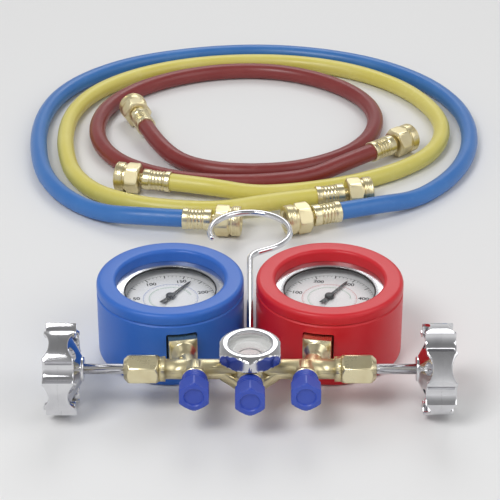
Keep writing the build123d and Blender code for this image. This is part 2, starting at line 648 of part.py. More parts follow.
hook_head_y = BAR_Y + HOOK_BOSS_LEN - HOOK_BUSH_IN - LOOSE
lead = radians(HOOK_LEAD_ANGLE)
loop_start = (HOOK_LOOP_R * cos(lead), BAR_Y + HOOK_LOOP_Y + HOOK_LOOP_R * sin(lead))
lead_dir = (-sin(lead), cos(lead))
lead_len = loop_start[0] / lead_dir[0]
corner_y = loop_start[1] - lead_len * lead_dir[1]
bend_trim = HOOK_BEND_R * tan(atan2(lead_dir[0], lead_dir[1]) / 2)
bend_start_y = corner_y - bend_trim
bend_end = (bend_trim * lead_dir[0], corner_y + bend_trim * lead_dir[1])
bend_turn = degrees(atan2(lead_dir[0], lead_dir[1]))
with BuildPart() as hanging_hook:
    with BuildSketch(Plane(origin=(0, hook_head_y, BAR_Z), z_dir=(0, -1, 0))):
        Circle(HOOK_HEAD_R)
    extrude(amount=HOOK_HEAD_LEN)
    with BuildSketch(Plane(origin=(0, hook_head_y, BAR_Z), z_dir=(0, 1, 0))):
        Circle(HOOK_WIRE_R)
    extrude(amount=bend_start_y - hook_head_y)
    with BuildSketch(Plane(origin=(0, bend_start_y, BAR_Z), z_dir=(0, 1, 0))):
        Circle(HOOK_WIRE_R)
    revolve(axis=Axis((HOOK_BEND_R, bend_start_y, 0), (0, 0, -1)), revolution_arc=bend_turn)
    with BuildSketch(Plane(origin=(*bend_end, BAR_Z), z_dir=(*lead_dir, 0))):
        Circle(HOOK_WIRE_R)
    extrude(amount=hypot(loop_start[0] - bend_end[0], loop_start[1] - bend_end[1]))
    with BuildSketch(Plane(origin=(*loop_start, BAR_Z), z_dir=(*lead_dir, 0))):
        Circle(HOOK_WIRE_R)
    revolve(
        axis=Axis((0, BAR_Y + HOOK_LOOP_Y, 0), (0, 0, 1)),
        revolution_arc=HOOK_TIP_ANGLE - HOOK_LEAD_ANGLE,
    )
    fillet(hanging_hook.edges().filter_by(GeomType.CIRCLE).sort_by(Axis.X)[0], HOOK_WIRE_R / 2)
write(hanging_hook, "hanging_hook")


# ---- Gauges ----------------------------------------------------------------------------------
def tooth_ring(pitch_r, teeth):
    """Half angles of one tooth at its root, pitch line and tip, with the radii they lie on."""
    pitch_half = pi * TOOTH_SHARE / teeth
    root_r = pitch_r - TOOTH_DEPTH * MODULE
    tip_r = pitch_r + MODULE
    slope = tan(radians(PRESSURE_ANGLE))
    root_half = pitch_half + ROOT_FLARE * TOOTH_DEPTH * MODULE * slope / root_r
    tip_half = pitch_half - MODULE * slope / tip_r
    return ((root_r, root_half), (pitch_r, pitch_half), (tip_r, tip_half))


def tooth_outline(pitch_r, teeth, centre_angle):
    """Corner points of one tooth whose middle lies at an angle, starting a little inside its root."""
    root, pitch, tip = tooth_ring(pitch_r, teeth)
    sunk = (root[0] - MODULE / 2, root[1])
    flank = [sunk, root, pitch, tip]
    left = [(r * cos(centre_angle + half), r * sin(centre_angle + half)) for r, half in flank]
    right = [(r * cos(centre_angle - half), r * sin(centre_angle - half)) for r, half in reversed(flank)]
    return left + right


for name, side in SIDES.items():
    with BuildPart() as gauge_boot:
        with BuildSketch(gauge_section(side)) as boot_profile:
            with BuildLine():
                Polyline(
                    (0, 0), (BOOT_R, 0), (BOOT_R, BOOT_HEIGHT), (BOOT_OPENING_R, BOOT_HEIGHT),
                    (BOOT_OPENING_R, BOOT_HEIGHT - BOOT_LIP), (CASE_R, BOOT_HEIGHT - BOOT_LIP),
                    (CASE_R, BOOT_FLOOR), (0, BOOT_FLOOR), close=True,
                )
            make_face()
            rim_corners = boot_profile.vertices().group_by(Axis.Y)[-1].sort_by(Axis.X)
            fillet(rim_corners[0], BOOT_MOUTH_FILLET)
            rim_corner = boot_profile.vertices().filter_by_position(
                Axis.Y, BOOT_HEIGHT - 0.1, BOOT_HEIGHT + 0.1).sort_by(Axis.X)[-1]
            fillet(rim_corner, BOOT_RIM_FILLET)
            base_corner = boot_profile.vertices().group_by(Axis.Y)[0].sort_by(Axis.X)[-1]
            fillet(base_corner, BOOT_BASE_FILLET)
            with Locations((BOOT_R, BOOT_HEIGHT - BOOT_GROOVE_DROP)):
                Circle(BOOT_GROOVE_R, mode=Mode.SUBTRACT)
        revolve(axis=gauge_axis(side))
        with BuildSketch(socket_plane(side, CASE_R - CASE_WALL)):
            Rectangle(SOCKET_AF + 2 * BOOT_SLOT_GAP, SOCKET_AF + 2 * BOOT_SLOT_GAP)
        extrude(amount=BOOT_R, mode=Mode.SUBTRACT)
    write(gauge_boot, f"{name}_gauge_boot")

    with BuildPart() as gauge_case:
        with BuildSketch(gauge_section(side)):
            with BuildLine():
                Polyline(
                    (0, BOOT_FLOOR), (CASE_R, BOOT_FLOOR), (CASE_R, CASE_TOP), (CASE_R - CASE_WALL, CASE_TOP),
                    (CASE_R - CASE_WALL, BOOT_FLOOR + CASE_WALL), (0, BOOT_FLOOR + CASE_WALL), close=True,
                )
            make_face()
        revolve(axis=gauge_axis(side))
        with BuildSketch(socket_plane(side, BLOCK_OUT_R)):
            Circle(NECK_R)
        extrude(amount=BOOT_R - BLOCK_OUT_R, mode=Mode.SUBTRACT)
    write(gauge_case, f"{name}_gauge_case")

    with BuildPart() as gauge_bezel:
        with BuildSketch(gauge_section(side)):
            with BuildLine():
                Polyline(
                    (BEZEL_LIP_R, CASE_TOP), (CASE_R, CASE_TOP), (CASE_R, CASE_TOP + BEZEL_LEN),
                    (BOOT_OPENING_R + BEZEL_FLAT, CASE_TOP + BEZEL_LEN),
                    (BEZEL_LIP_R, CASE_TOP + BEZEL_LIP_LEN),
                    close=True,
                )
            make_face()
        revolve(axis=gauge_axis(side))
    write(gauge_bezel, f"{name}_gauge_bezel")

    with BuildPart() as gauge_lens:
        with BuildSketch(gauge_plane(side, LENS_BASE)):
            Circle(CASE_R - CASE_WALL)
        extrude(amount=LENS_LEN)
    write(gauge_lens, f"{name}_gauge_lens")

    with BuildPart() as gauge_dial:
        with BuildSketch(gauge_plane(side, DIAL_TOP)):
            Circle(DIAL_R)
            Circle(2 * ARBOR_R, mode=Mode.SUBTRACT)
        extrude(amount=-DIAL_LEN)
    write(gauge_dial, f"{name}_gauge_dial")

    # Socket: the block that carries the bourdon tube, the neck through the case, the wrench square, the taper
    # and the spigot that screws into the bar.
    with BuildPart() as gauge_socket:
        with BuildSketch(gauge_section(side, -90 - BLOCK_HALF_ANGLE)):
            with Locations(((BLOCK_IN_R + BLOCK_OUT_R) / 2, BAR_Z + (BLOCK_ABOVE - BLOCK_BELOW) / 2)):
                Rectangle(BLOCK_OUT_R - BLOCK_IN_R, BLOCK_ABOVE + BLOCK_BELOW)
        revolve(axis=gauge_axis(side), revolution_arc=2 * BLOCK_HALF_ANGLE)
        with BuildSketch(socket_plane(side, BLOCK_OUT_R - CASE_WALL)):
            Circle(NECK_R)
        extrude(amount=SQUARE_FROM - BLOCK_OUT_R + CASE_WALL)
        with BuildSketch(socket_plane(side, SQUARE_FROM)):
            Rectangle(SOCKET_AF, SOCKET_AF)
        extrude(amount=SOCKET_SQUARE_LEN)
        chamfer(gauge_socket.faces().sort_by(gauge_axis_out(side))[-1].edges(), SOCKET_CHAMFER)
        with BuildSketch(socket_plane(side, SQUARE_TO)):
            Circle(SOCKET_AF / 2 - SOCKET_CHAMFER)
        with BuildSketch(socket_plane(side, TAIL_FROM)):
            Circle(SOCKET_TAIL_R)
        loft()
        with BuildSketch(socket_plane(side, TAIL_FROM)):
            Circle(SOCKET_TAIL_R)
        extrude(amount=TAIL_TO - TAIL_FROM)
        with BuildSketch(socket_plane(side, TAIL_TO)):
            Circle(SOCKET_SPIGOT_R)
        extrude(amount=SOCKET_SPIGOT_LEN)
        with BuildSketch(socket_plane(side, TUBE_R)):
            Circle(PASSAGE_R)
        extrude(amount=SOCKET_REACH, mode=Mode.SUBTRACT)
    write(gauge_socket, f"{name}_gauge_socket")

    with BuildPart() as bourdon_tube:
        with BuildSketch(gauge_section(side, BLOCK_HALF_ANGLE - 90)):
            with Locations((TUBE_R, BAR_Z)):
                SlotOverall(TUBE_DEPTH, TUBE_THICK, rotation=90)
        revolve(axis=gauge_axis(side), revolution_arc=TUBE_ARC)
        with BuildSketch(gauge_section(side, BLOCK_HALF_ANGLE - 90 + TUBE_ARC)):
            with Locations((TUBE_R, BAR_Z)):
                Rectangle(TUBE_THICK + 2 * TUBE_TIP_PROUD, TUBE_DEPTH + 2 * TUBE_TIP_PROUD)
        revolve(axis=gauge_axis(side), revolution_arc=TUBE_TIP_ARC)
    write(bourdon_tube, f"{name}_bourdon_tube")

    # Movement frame: two plates held apart by pillars, reaching back to the socket block,
    # with posts for the dial.
    with BuildPart() as movement_frame:
        for level in (FRAME_BASE, FRAME_TOP - PLATE_LEN):
            with BuildSketch(gauge_plane(side, level)):
                with Locations((0, (PLATE_TOP - BLOCK_IN_R - PLATE_LEN) / 2)):
                    RectangleRounded(PLATE_WIDTH, PLATE_TOP + BLOCK_IN_R + PLATE_LEN, PLATE_CORNER_R)
                Circle(BLOCK_IN_R, mode=Mode.INTERSECT)
                Circle(ARBOR_R + RUN_FIT, mode=Mode.SUBTRACT)
                with Locations((0, -SECTOR_PIVOT)):
                    Circle(ARBOR_R + RUN_FIT, mode=Mode.SUBTRACT)
            extrude(amount=PLATE_LEN)
        with BuildSketch(gauge_plane(side, FRAME_BASE)):
            with Locations(*[(x, y) for x in (-PILLAR_X, PILLAR_X) for y in PILLAR_Y]):
                Circle(PILLAR_R)
        extrude(amount=FRAME_TOP - FRAME_BASE)
        with BuildSketch(gauge_plane(side, FRAME_TOP)):
            with Locations((-PILLAR_X, PILLAR_Y[0]), (PILLAR_X, PILLAR_Y[0])):
                Circle(PILLAR_R)
        extrude(amount=FRAME_TOP_DROP)
    write(movement_frame, f"{name}_movement_frame")

    with BuildPart() as pointer_arbor:
        with BuildSketch(gauge_plane(side, FRAME_BASE)):
            Circle(ARBOR_R)
        extrude(amount=DIAL_TOP + POINTER_LIFT + POINTER_HUB_LEN - FRAME_BASE)
        with BuildSketch(gauge_plane(side, GEAR_Z - GEAR_LEN / 2)):
            Circle(PINION_R - TOOTH_DEPTH * MODULE)
            for tooth in range(PINION_TEETH):
                with BuildLine():
                    middle = (tooth + 0.5) * 2 * pi / PINION_TEETH
                    Polyline(*tooth_outline(PINION_R, PINION_TEETH, middle), close=True)
                make_face()
        extrude(amount=GEAR_LEN)
    write(pointer_arbor, f"{name}_pointer_arbor")

    # Sector gear on its own pivot below the arbor: its teeth face the pinion, tooth to gap on the line
    # of centres.
    pitch_angle = 2 * pi / SECTOR_TEETH
    first_tooth = pi / 2 + radians(SECTOR_CENTRE_TILT) - SECTOR_CUT_TEETH / 2 * pitch_angle
    first_tooth = pi / 2 + round((first_tooth - pi / 2) / pitch_angle) * pitch_angle
    root_r = SECTOR_R - TOOTH_DEPTH * MODULE
    with BuildPart() as sector_gear:
        pivot = gauge_plane(side, GEAR_Z - GEAR_LEN / 2)
        pivot = Plane(origin=pivot.origin - pivot.y_dir * SECTOR_PIVOT, x_dir=pivot.x_dir, z_dir=(0, 0, 1))
        with BuildSketch(pivot):
            start = first_tooth - pitch_angle / 2
            stop = first_tooth + (SECTOR_CUT_TEETH - 0.5) * pitch_angle
            with BuildLine():
                Line((0, 0), (root_r * cos(start), root_r * sin(start)))
                CenterArc((0, 0), root_r, degrees(start), degrees(stop - start))
                Line((root_r * cos(stop), root_r * sin(stop)), (0, 0))
            make_face()
            for tooth in range(SECTOR_CUT_TEETH):
                with BuildLine():
                    middle = first_tooth + tooth * pitch_angle
                    Polyline(*tooth_outline(SECTOR_R, SECTOR_TEETH, middle), close=True)
                make_face()
            middle = (start + stop) / 2
            hole_at = SECTOR_HOLE_PLACE * SECTOR_R
            with Locations((hole_at * cos(middle), hole_at * sin(middle))):
                Circle(SECTOR_HOLE_R, mode=Mode.SUBTRACT)
            Circle(SECTOR_HUB_R)
        extrude(amount=GEAR_LEN)
        with BuildSketch(pivot.offset(FRAME_BASE - pivot.origin.Z)):
            Circle(ARBOR_R)
        extrude(amount=FRAME_TOP - FRAME_BASE)
    write(sector_gear, f"{name}_sector_gear")

    with BuildPart() as gauge_pointer:
        needle = radians(90 - POINTER_REST)
        across = Vector(cos(needle), sin(needle), 0)
        with BuildSketch(Plane(origin=gauge_plane(side, DIAL_TOP + POINTER_LIFT).origin, x_dir=across)):
            with BuildLine():
                Polyline(
                    (-POINTER_TAIL, -POINTER_TAIL_HALF), (-POINTER_TAIL, POINTER_TAIL_HALF),
                    (0, POINTER_ROOT_HALF),
                    (POINTER_LEN - POINTER_TIP_LEN, POINTER_TIP_HALF), (POINTER_LEN, 0),
                    (POINTER_LEN - POINTER_TIP_LEN, -POINTER_TIP_HALF), (0, -POINTER_ROOT_HALF), close=True,
                )
            make_face()
            Circle(POINTER_HUB_R)
            Circle(ARBOR_R, mode=Mode.SUBTRACT)
        extrude(amount=POINTER_THICK)
        with BuildSketch(Plane(gauge_plane(side, DIAL_TOP + POINTER_LIFT).origin)):
            Circle(POINTER_HUB_R)
            Circle(ARBOR_R, mode=Mode.SUBTRACT)
        extrude(amount=POINTER_HUB_LEN)
    write(gauge_pointer, f"{name}_gauge_pointer")


# ---- Hoses -------------------------------------------------------------------------------------
def hose_points(route):
    """A route's points in space: on the floor, and at a nut's height over the last two points at each end."""
    last = len(route) - 1
    points = []
    for place, (x, y) in enumerate(route):
        height = HOSE_AXIS_AT_NUT if min(place, last - place) < 2 else HOSE_R
        points.append(Vector(x, BAR_Y + HOSE_BACK + y, height))
    return points


def bend_radii(points):
    """Each corner's arc: as large as its two runs allow."""
    radii = []
    for before, here, after in zip(points, points[1:], points[2:]):
        turn = radians((here - before).get_angle(after - here))
        radii.append(0.45 * min((here - before).length, (after - here).length) / tan(turn / 2))
    return radii


for colour, route in HOSE_ROUTES.items():
    points = hose_points(route)
    radii = bend_radii(points)
    with BuildPart() as hose:
        with BuildLine() as hose_path:
            FilletPolyline(*points, radius=radii)
        with BuildSketch(Plane(origin=points[0], z_dir=points[1] - points[0])):
            Circle(HOSE_R)
        sweep(path=hose_path.wires()[0])
    write(hose, f"{colour}_hose")
    length = hose_path.wires()[0].length
    straight = pi * HOSE_R**2 * length
    print(colour, "hose: length", round(length, 1), "volume ratio", round(hose.part.volume / straight, 4))
    print("  radii", [round(radius) for radius in radii])

    for end, tip, inner in (("first", points[0], points[1]), ("last", points[-1], points[-2])):
        out = (tip - inner).normalized()
        face = Plane(origin=tip, x_dir=(-out.Y, out.X, 0), z_dir=out)
        with BuildPart() as hose_end:
            with BuildSketch(face):
                Circle(FERRULE_R)
            extrude(amount=FERRULE_LEN)
            with BuildSketch(face.offset(FERRULE_LEN)):
                Circle(STEM_NECK_R)
            extrude(amount=SWIVEL_NECK_LEN)
            with BuildSketch(face.offset(FERRULE_LEN + SWIVEL_NECK_LEN)):
                Circle(FLANGE_R)
            extrude(amount=FLANGE_LEN)
            with BuildSketch(face.offset(FLANGE_END)):
                Circle(FLANGE_R)
            with BuildSketch(face.offset(FLANGE_END + CONE_LEN)):
                Circle(CONE_R)
            loft()
            with BuildSketch(face.offset(FERRULE_LEN / 2)):
                Circle(HOSE_BORE_R)
            extrude(amount=FERRULE_LEN + SWIVEL_NECK_LEN, mode=Mode.SUBTRACT)
        write(hose_end, f"{colour}_hose_{end}_end")

        nut_face = face.offset(FERRULE_LEN + HOSE_NUT_START)
        wall = SWIVEL_NECK_LEN - HOSE_NUT_START - LOOSE
        with BuildPart() as hose_nut:
            with BuildSketch(nut_face):
                RegularPolygon(HOSE_NUT_AF / 2, 6, major_radius=False)
            extrude(amount=HOSE_NUT_HEX)
            with BuildSketch(nut_face.offset(HOSE_NUT_HEX)):
                Circle(HOSE_NUT_ROUND_R)
            extrude(amount=HOSE_NUT_LEN - HOSE_NUT_HEX)
            with BuildSketch(nut_face):
                Circle(STEM_NECK_R + RUN_FIT)
            extrude(amount=HOSE_NUT_LEN, mode=Mode.SUBTRACT)
            with BuildSketch(nut_face.offset(wall)):
                Circle(HOSE_RELIEF_R)
            extrude(amount=HOSE_NUT_LEN - HOSE_THREAD_LEN - wall, mode=Mode.SUBTRACT)
            with BuildSketch(nut_face.offset(HOSE_NUT_LEN)):
                Circle(HOSE_THREAD_R)
            extrude(amount=-HOSE_THREAD_LEN, mode=Mode.SUBTRACT)
        write(hose_nut, f"{colour}_hose_{end}_nut")
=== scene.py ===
"""Dressed model of a refrigerant manifold gauge with its three charging hoses, in metres, +Z up."""

import json
import logging
import math
from dataclasses import dataclass
from enum import Enum
from typing import Iterable, Sequence, Union

import bmesh
import bpy
from mathutils import Matrix, Vector


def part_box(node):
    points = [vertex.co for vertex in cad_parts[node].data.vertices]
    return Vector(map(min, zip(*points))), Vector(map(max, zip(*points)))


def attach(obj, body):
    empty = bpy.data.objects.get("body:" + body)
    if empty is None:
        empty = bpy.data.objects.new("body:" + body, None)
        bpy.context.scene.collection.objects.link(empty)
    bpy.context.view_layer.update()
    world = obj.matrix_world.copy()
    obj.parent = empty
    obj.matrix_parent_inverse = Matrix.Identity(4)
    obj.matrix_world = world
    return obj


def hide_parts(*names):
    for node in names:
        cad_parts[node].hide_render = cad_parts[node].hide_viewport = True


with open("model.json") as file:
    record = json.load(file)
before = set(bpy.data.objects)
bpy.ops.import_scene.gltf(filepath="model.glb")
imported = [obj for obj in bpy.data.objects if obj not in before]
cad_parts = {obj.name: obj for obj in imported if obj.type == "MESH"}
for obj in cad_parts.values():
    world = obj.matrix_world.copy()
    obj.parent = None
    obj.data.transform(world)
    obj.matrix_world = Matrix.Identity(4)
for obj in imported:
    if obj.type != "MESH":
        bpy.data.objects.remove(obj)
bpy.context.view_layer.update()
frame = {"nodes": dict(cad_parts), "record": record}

LOG = logging.getLogger("manifold")
MM = 0.001
CREASE = 34.0  # angle above which an edge stays sharp, in degrees

Colour = tuple[float, float, float]
Pair = tuple[float, float]
Point = tuple[float, float]
Value = Union["Field", float, int, tuple, bpy.types.NodeSocket, bpy.types.Material]
Sockets = dict[Union[str, int], Value]


class Side(Enum):
    """The two halves of the manifold, by pressure."""

    LOW = "low"
    HIGH = "high"

    @property
    def sign(self) -> int:
        """Direction of this half along X."""
        return -1 if self is Side.LOW else 1

    def node(self, kind: str) -> str:
        """Name of this half's piece of a kind."""
        return f"{self.value}_{kind}"


# ---- Node trees ----------------------------------------------------------------


class Field:
    """A number on a node socket; arithmetic on it adds Math nodes."""

    def __init__(self, graph: "Graph", socket: bpy.types.NodeSocket) -> None:
        """Holds a socket of a graph.

        Args:
            graph: The graph that the socket belongs to.
            socket: An output socket that carries a number.
        """
        self.graph = graph
        self.socket = socket

    def __add__(self, other: Value) -> "Field":
        """Sum."""
        return self.graph.maths("ADD", self, other)

    def __radd__(self, other: Value) -> "Field":
        """Sum with a plain number first."""
        return self.graph.maths("ADD", other, self)

    def __sub__(self, other: Value) -> "Field":
        """Difference."""
        return self.graph.maths("SUBTRACT", self, other)

    def __rsub__(self, other: Value) -> "Field":
        """Difference with a plain number first."""
        return self.graph.maths("SUBTRACT", other, self)

    def __mul__(self, other: Value) -> "Field":
        """Product."""
        return self.graph.maths("MULTIPLY", self, other)

    def __truediv__(self, other: Value) -> "Field":
        """Quotient."""
        return self.graph.maths("DIVIDE", self, other)

    def __pow__(self, other: Value) -> "Field":
        """Power."""
        return self.graph.maths("POWER", self, other)

    def called(self, operation: str, *others: Value) -> "Field":
        """Any other Math operation on this number.

        Args:
            operation: The Math node's operation.
            others: Its further numbers.

        Returns:
            The result.
        """
        return self.graph.maths(operation, self, *others)

    def ramp(self, low: float, high: float) -> "Field":
        """Smooth step of this number.

        Args:
            low: Where the result is 0.
            high: Where the result is 1.

        Returns:
            A number from 0 to 1.
        """
        sockets = {"Value": self, "From Min": low, "From Max": high}
        step = self.graph.out("ShaderNodeMapRange", sockets, interpolation_type="SMOOTHSTEP")
        return Field(self.graph, step)


class Graph:
    """A shader or geometry node tree that is being built."""

    def __init__(self, tree: bpy.types.NodeTree) -> None:
        """Empties the tree and keeps it.

        Args:
            tree: The tree to build in.
        """
        self.tree = tree
        tree.nodes.clear()

    def node(self, kind: str, sockets: Sockets | None = None, **settings: str) -> bpy.types.Node:
        """Adds one node.

        Args:
            kind: The node's type name.
            sockets: Values or links for its inputs, by name or place.
            settings: Its properties, set before its sockets.

        Returns:
            The node.
        """
        made = self.tree.nodes.new(kind)
        for name, value in settings.items():
            setattr(made, name, value)
        for key, value in (sockets or {}).items():
            self.feed(made.inputs[key], value)
        return made

    def out(self, kind: str, sockets: Sockets | None = None, **settings: str) -> bpy.types.NodeSocket:
        """Adds one node, as node does, and gives its first output."""
        return self.node(kind, sockets, **settings).outputs[0]

    def feed(self, target: bpy.types.NodeSocket, value: Value) -> None:
        """Links or sets one input.

        Args:
            target: The input socket.
            value: A field, a socket, or a plain value.
        """
        if isinstance(value, Field):
            self.tree.links.new(value.socket, target)
        elif isinstance(value, bpy.types.NodeSocket):
            self.tree.links.new(value, target)
        elif isinstance(value, tuple) and target.type == "RGBA" and len(value) == 3:
            target.default_value = (*value, 1.0)
        else:
            target.default_value = value

    def maths(self, operation: str, *values: Value) -> Field:
        """One Math node.

        Args:
            operation: Its operation.
            values: Its numbers, in order.

        Returns:
            Its result.
        """
        return Field(self, self.out("ShaderNodeMath", dict(enumerate(values)), operation=operation))

    def parts(self, vector: bpy.types.NodeSocket) -> list[Field]:
        """The three numbers of a vector."""
        return [Field(self, part) for part in self.node("ShaderNodeSeparateXYZ", {0: vector}).outputs]

    def vector(self, x: Value = 0.0, y: Value = 0.0, z: Value = 0.0) -> bpy.types.NodeSocket:
        """The vector of three numbers."""
        return self.out("ShaderNodeCombineXYZ", {0: x, 1: y, 2: z})


class Surface(Graph):
    """A material's shader tree, with the patterns that the finishes share."""

    BUMP_STRENGTH = 0.6

    def __init__(self, name: str) -> None:
        """Starts a material.

        Args:
            name: The material's name.
        """
        self.material = bpy.data.materials.new(name)
        self.material.use_nodes = True
        super().__init__(self.material.node_tree)
        self.place = self.node("ShaderNodeTexCoord").outputs["Object"]

    def noise(self, scale: float, detail: float, stretch: tuple[float, float, float] = (1, 1, 1)) -> Field:
        """Cloudy noise over the piece.

        Args:
            scale: Cells to a metre.
            detail: Octaves.
            stretch: Scale along each axis.

        Returns:
            A number round 0.5.
        """
        turned = self.out("ShaderNodeMapping", {"Vector": self.place, "Scale": stretch})
        sockets = {"Vector": turned, "Scale": scale, "Detail": detail}
        return Field(self, self.out("ShaderNodeTexNoise", sockets))

    def grains(self, scale: float) -> Field:
        """Distance to the nearest of many scattered grains.

        Args:
            scale: Grains to a metre.

        Returns:
            The distance, in cells.
        """
        return Field(self, self.out("ShaderNodeTexVoronoi", {"Vector": self.place, "Scale": scale}))

    def blend(self, factor: Value, under: Value, over: Value) -> bpy.types.NodeSocket:
        """Mixes two colours.

        Args:
            factor: Share of the second colour.
            under: Colour at 0.
            over: Colour at 1.

        Returns:
            The mixed colour.
        """
        sockets = {"Factor": factor, 6: under, 7: over}  # 6 and 7 are the colour inputs
        return self.node("ShaderNodeMix", sockets, data_type="RGBA").outputs[2]

    def bump(self, height: Field, depth: float) -> bpy.types.NodeSocket:
        """Turns a height into a normal.

        Args:
            height: The height, 0 to 1.
            depth: Its depth, in metres.

        Returns:
            The normal.
        """
        sockets = {"Height": height, "Distance": depth, "Strength": self.BUMP_STRENGTH}
        return self.out("ShaderNodeBump", sockets)

    def close(self, **sockets: Value) -> bpy.types.Material:
        """Adds the shader and the output.

        Args:
            sockets: Values for the shader's sockets; an underscore stands for a space.

        Returns:
            The finished material.
        """
        names = {name.replace("_", " "): value for name, value in sockets.items()}
        shader = self.out("ShaderNodeBsdfPrincipled", names)
        self.node("ShaderNodeOutputMaterial", {"Surface": shader})
        return self.material


# ---- Finishes ----------------------------------------------------------------


@dataclass(frozen=True)
class Finish:
    """A named finish of one main colour."""

    name: str
    colour: Colour

    def make(self) -> bpy.types.Material:
        """Builds the material."""
        raise NotImplementedError(self.name)


@dataclass(frozen=True)
class Metal(Finish):
    """Bright or satin metal, with cloudy tarnish, fine scratches and dull patches."""

    tarnish: Colour
    roughness: float
    wear: float = 0.12
    scratch: float = 0.00002
    tarnish_share: float = 0.5
    least_roughness: float = 0.04

    def make(self) -> bpy.types.Material:
        """Builds the material."""
        surface = Surface(self.name)
        cloud = surface.noise(scale=90, detail=4)
        fine = surface.noise(scale=900, detail=2, stretch=(1, 1, 7))
        speck = surface.grains(700)
        stain = cloud.ramp(0.45, 0.75) * self.tarnish_share
        tone = surface.blend(stain, self.colour, self.tarnish)
        rough = self.roughness + (cloud - 0.5) * self.wear + fine * (self.wear * 0.5)
        rough = rough.called("MAXIMUM", self.least_roughness)
        normal = surface.bump(fine * 0.7 + speck * 0.3, self.scratch)
        return surface.close(Base_Color=tone, Metallic=1.0, Roughness=rough, Normal=normal)


@dataclass(frozen=True)
class Moulded(Finish):
    """Moulded rubber or plastic: even colour, faint bloom, fine grain."""

    bloom: Colour
    roughness: float
    grain: float = 1400.0
    depth: float = 0.00006
    bloom_share: float = 0.35
    coat: float = 0.0
    coat_roughness: float = 0.25

    def make(self) -> bpy.types.Material:
        """Builds the material."""
        surface = Surface(self.name)
        cloud = surface.noise(scale=28, detail=5)
        fine = surface.noise(scale=self.grain, detail=2)
        dust = surface.noise(scale=320, detail=4).ramp(0.52, 0.78)
        share = (cloud.ramp(0.35, 0.8) + dust * 0.5) * self.bloom_share
        tone = surface.blend(share, self.colour, self.bloom)
        rough = self.roughness + (cloud - 0.5) * 0.16 + dust * 0.06
        normal = surface.bump(fine, self.depth)
        coat = {"Coat_Weight": self.coat, "Coat_Roughness": self.coat_roughness}
        return surface.close(Base_Color=tone, Roughness=rough, **coat, Normal=normal)


@dataclass(frozen=True)
class Jacket(Finish):
    """Extruded hose jacket: semi-gloss, with faint scuffs."""

    bloom: Colour
    roughness: float = 0.34
    depth: float = 0.00005

    def make(self) -> bpy.types.Material:
        """Builds the material."""
        surface = Surface(self.name)
        cloud = surface.noise(scale=35, detail=4)
        fine = surface.noise(scale=1500, detail=3)
        scuff = surface.noise(scale=210, detail=5).ramp(0.56, 0.72)
        tone = surface.blend(cloud.ramp(0.3, 0.85) * 0.3 + scuff * 0.18, self.colour, self.bloom)
        rough = self.roughness + (cloud - 0.5) * 0.2 + scuff * 0.16
        normal = surface.bump(fine + scuff * 0.4, self.depth)
        return surface.close(Base_Color=tone, Roughness=rough, Normal=normal)


@dataclass(frozen=True)
class Pane(Finish):
    """Clear flat glass or plastic."""

    alpha: float
    roughness: float = 0.05
    specular: float = 0.9

    def make(self) -> bpy.types.Material:
        """Builds the material."""
        surface = Surface(self.name)
        rough = self.roughness + surface.noise(scale=60, detail=3) * 0.06
        clear = {"Alpha": self.alpha, "Specular_IOR_Level": self.specular}
        return surface.close(Base_Color=self.colour, Roughness=rough, **clear)


@dataclass(frozen=True)
class Print(Finish):
    """Flat printing ink or painted sheet, with a paper-fine mottle."""

    roughness: float = 0.5

    def make(self) -> bpy.types.Material:
        """Builds the material."""
        surface = Surface(self.name)
        mottle = surface.noise(scale=1200, detail=2)
        darker = tuple(channel * 0.9 for channel in self.colour)
        tone = surface.blend(mottle.ramp(0.4, 0.7) * 0.3, self.colour, darker)
        return surface.close(Base_Color=tone, Roughness=self.roughness + (mottle - 0.5) * 0.1)


FINISHES: tuple[Finish, ...] = (
    Metal("cast_brass", (0.77, 0.68, 0.42), (0.56, 0.45, 0.23), 0.34),
    Metal("turned_brass", (0.80, 0.72, 0.47), (0.62, 0.51, 0.28), 0.26, scratch=0.00001),
    Metal("nut_brass", (0.79, 0.70, 0.44), (0.60, 0.48, 0.26), 0.28),
    Metal("movement_brass", (0.72, 0.55, 0.24), (0.5, 0.35, 0.13), 0.3),
    Metal("bronze", (0.62, 0.40, 0.19), (0.4, 0.24, 0.1), 0.34),
    Metal("chrome", (0.72, 0.72, 0.74), (0.50, 0.50, 0.53), 0.10, 0.05, 0.000002, 0.35),
    Metal("bezel_steel", (0.70, 0.71, 0.73), (0.52, 0.53, 0.56), 0.2),
    Metal("fine_steel", (0.58, 0.58, 0.60), (0.4, 0.4, 0.42), 0.28),
    Moulded("case_steel", (0.012, 0.012, 0.014), (0.03, 0.03, 0.034), 0.4),
    Moulded("blue_rubber", (0.022, 0.128, 0.52), (0.045, 0.18, 0.60), 0.38),
    Moulded("red_rubber", (0.60, 0.008, 0.018), (0.66, 0.028, 0.038), 0.38),
    Moulded("blue_plastic", (0.022, 0.058, 0.40), (0.05, 0.11, 0.52), 0.34, coat=0.15),
    Moulded("black_rubber", (0.012, 0.012, 0.012), (0.03, 0.03, 0.03), 0.6),
    Moulded("white_ptfe", (0.88, 0.88, 0.86), (0.8, 0.8, 0.78), 0.4),
    Moulded("indicator_paper", (0.86, 0.74, 0.75), (0.80, 0.60, 0.63), 0.6),
    Jacket("red_hose_rubber", (0.205, 0.024, 0.024), (0.32, 0.075, 0.065)),
    Jacket("yellow_hose_rubber", (0.66, 0.58, 0.12), (0.78, 0.72, 0.3)),
    Jacket("blue_hose_rubber", (0.032, 0.155, 0.46), (0.09, 0.26, 0.58)),
    Pane("clear_lens", (0.30, 0.33, 0.34), 0.06),
    Pane("clear_glass", (0.75, 0.77, 0.77), 0.10),
    Print("dial_white", (0.95, 0.95, 0.955), 0.45),
    Print("pointer_black", (0.02, 0.02, 0.024), 0.35),
    Print("scale_black", (0.03, 0.03, 0.035)),
    Print("scale_red", (0.60, 0.04, 0.04)),
    Print("scale_green", (0.03, 0.30, 0.12)),
    Print("scale_blue", (0.04, 0.12, 0.48)),
)


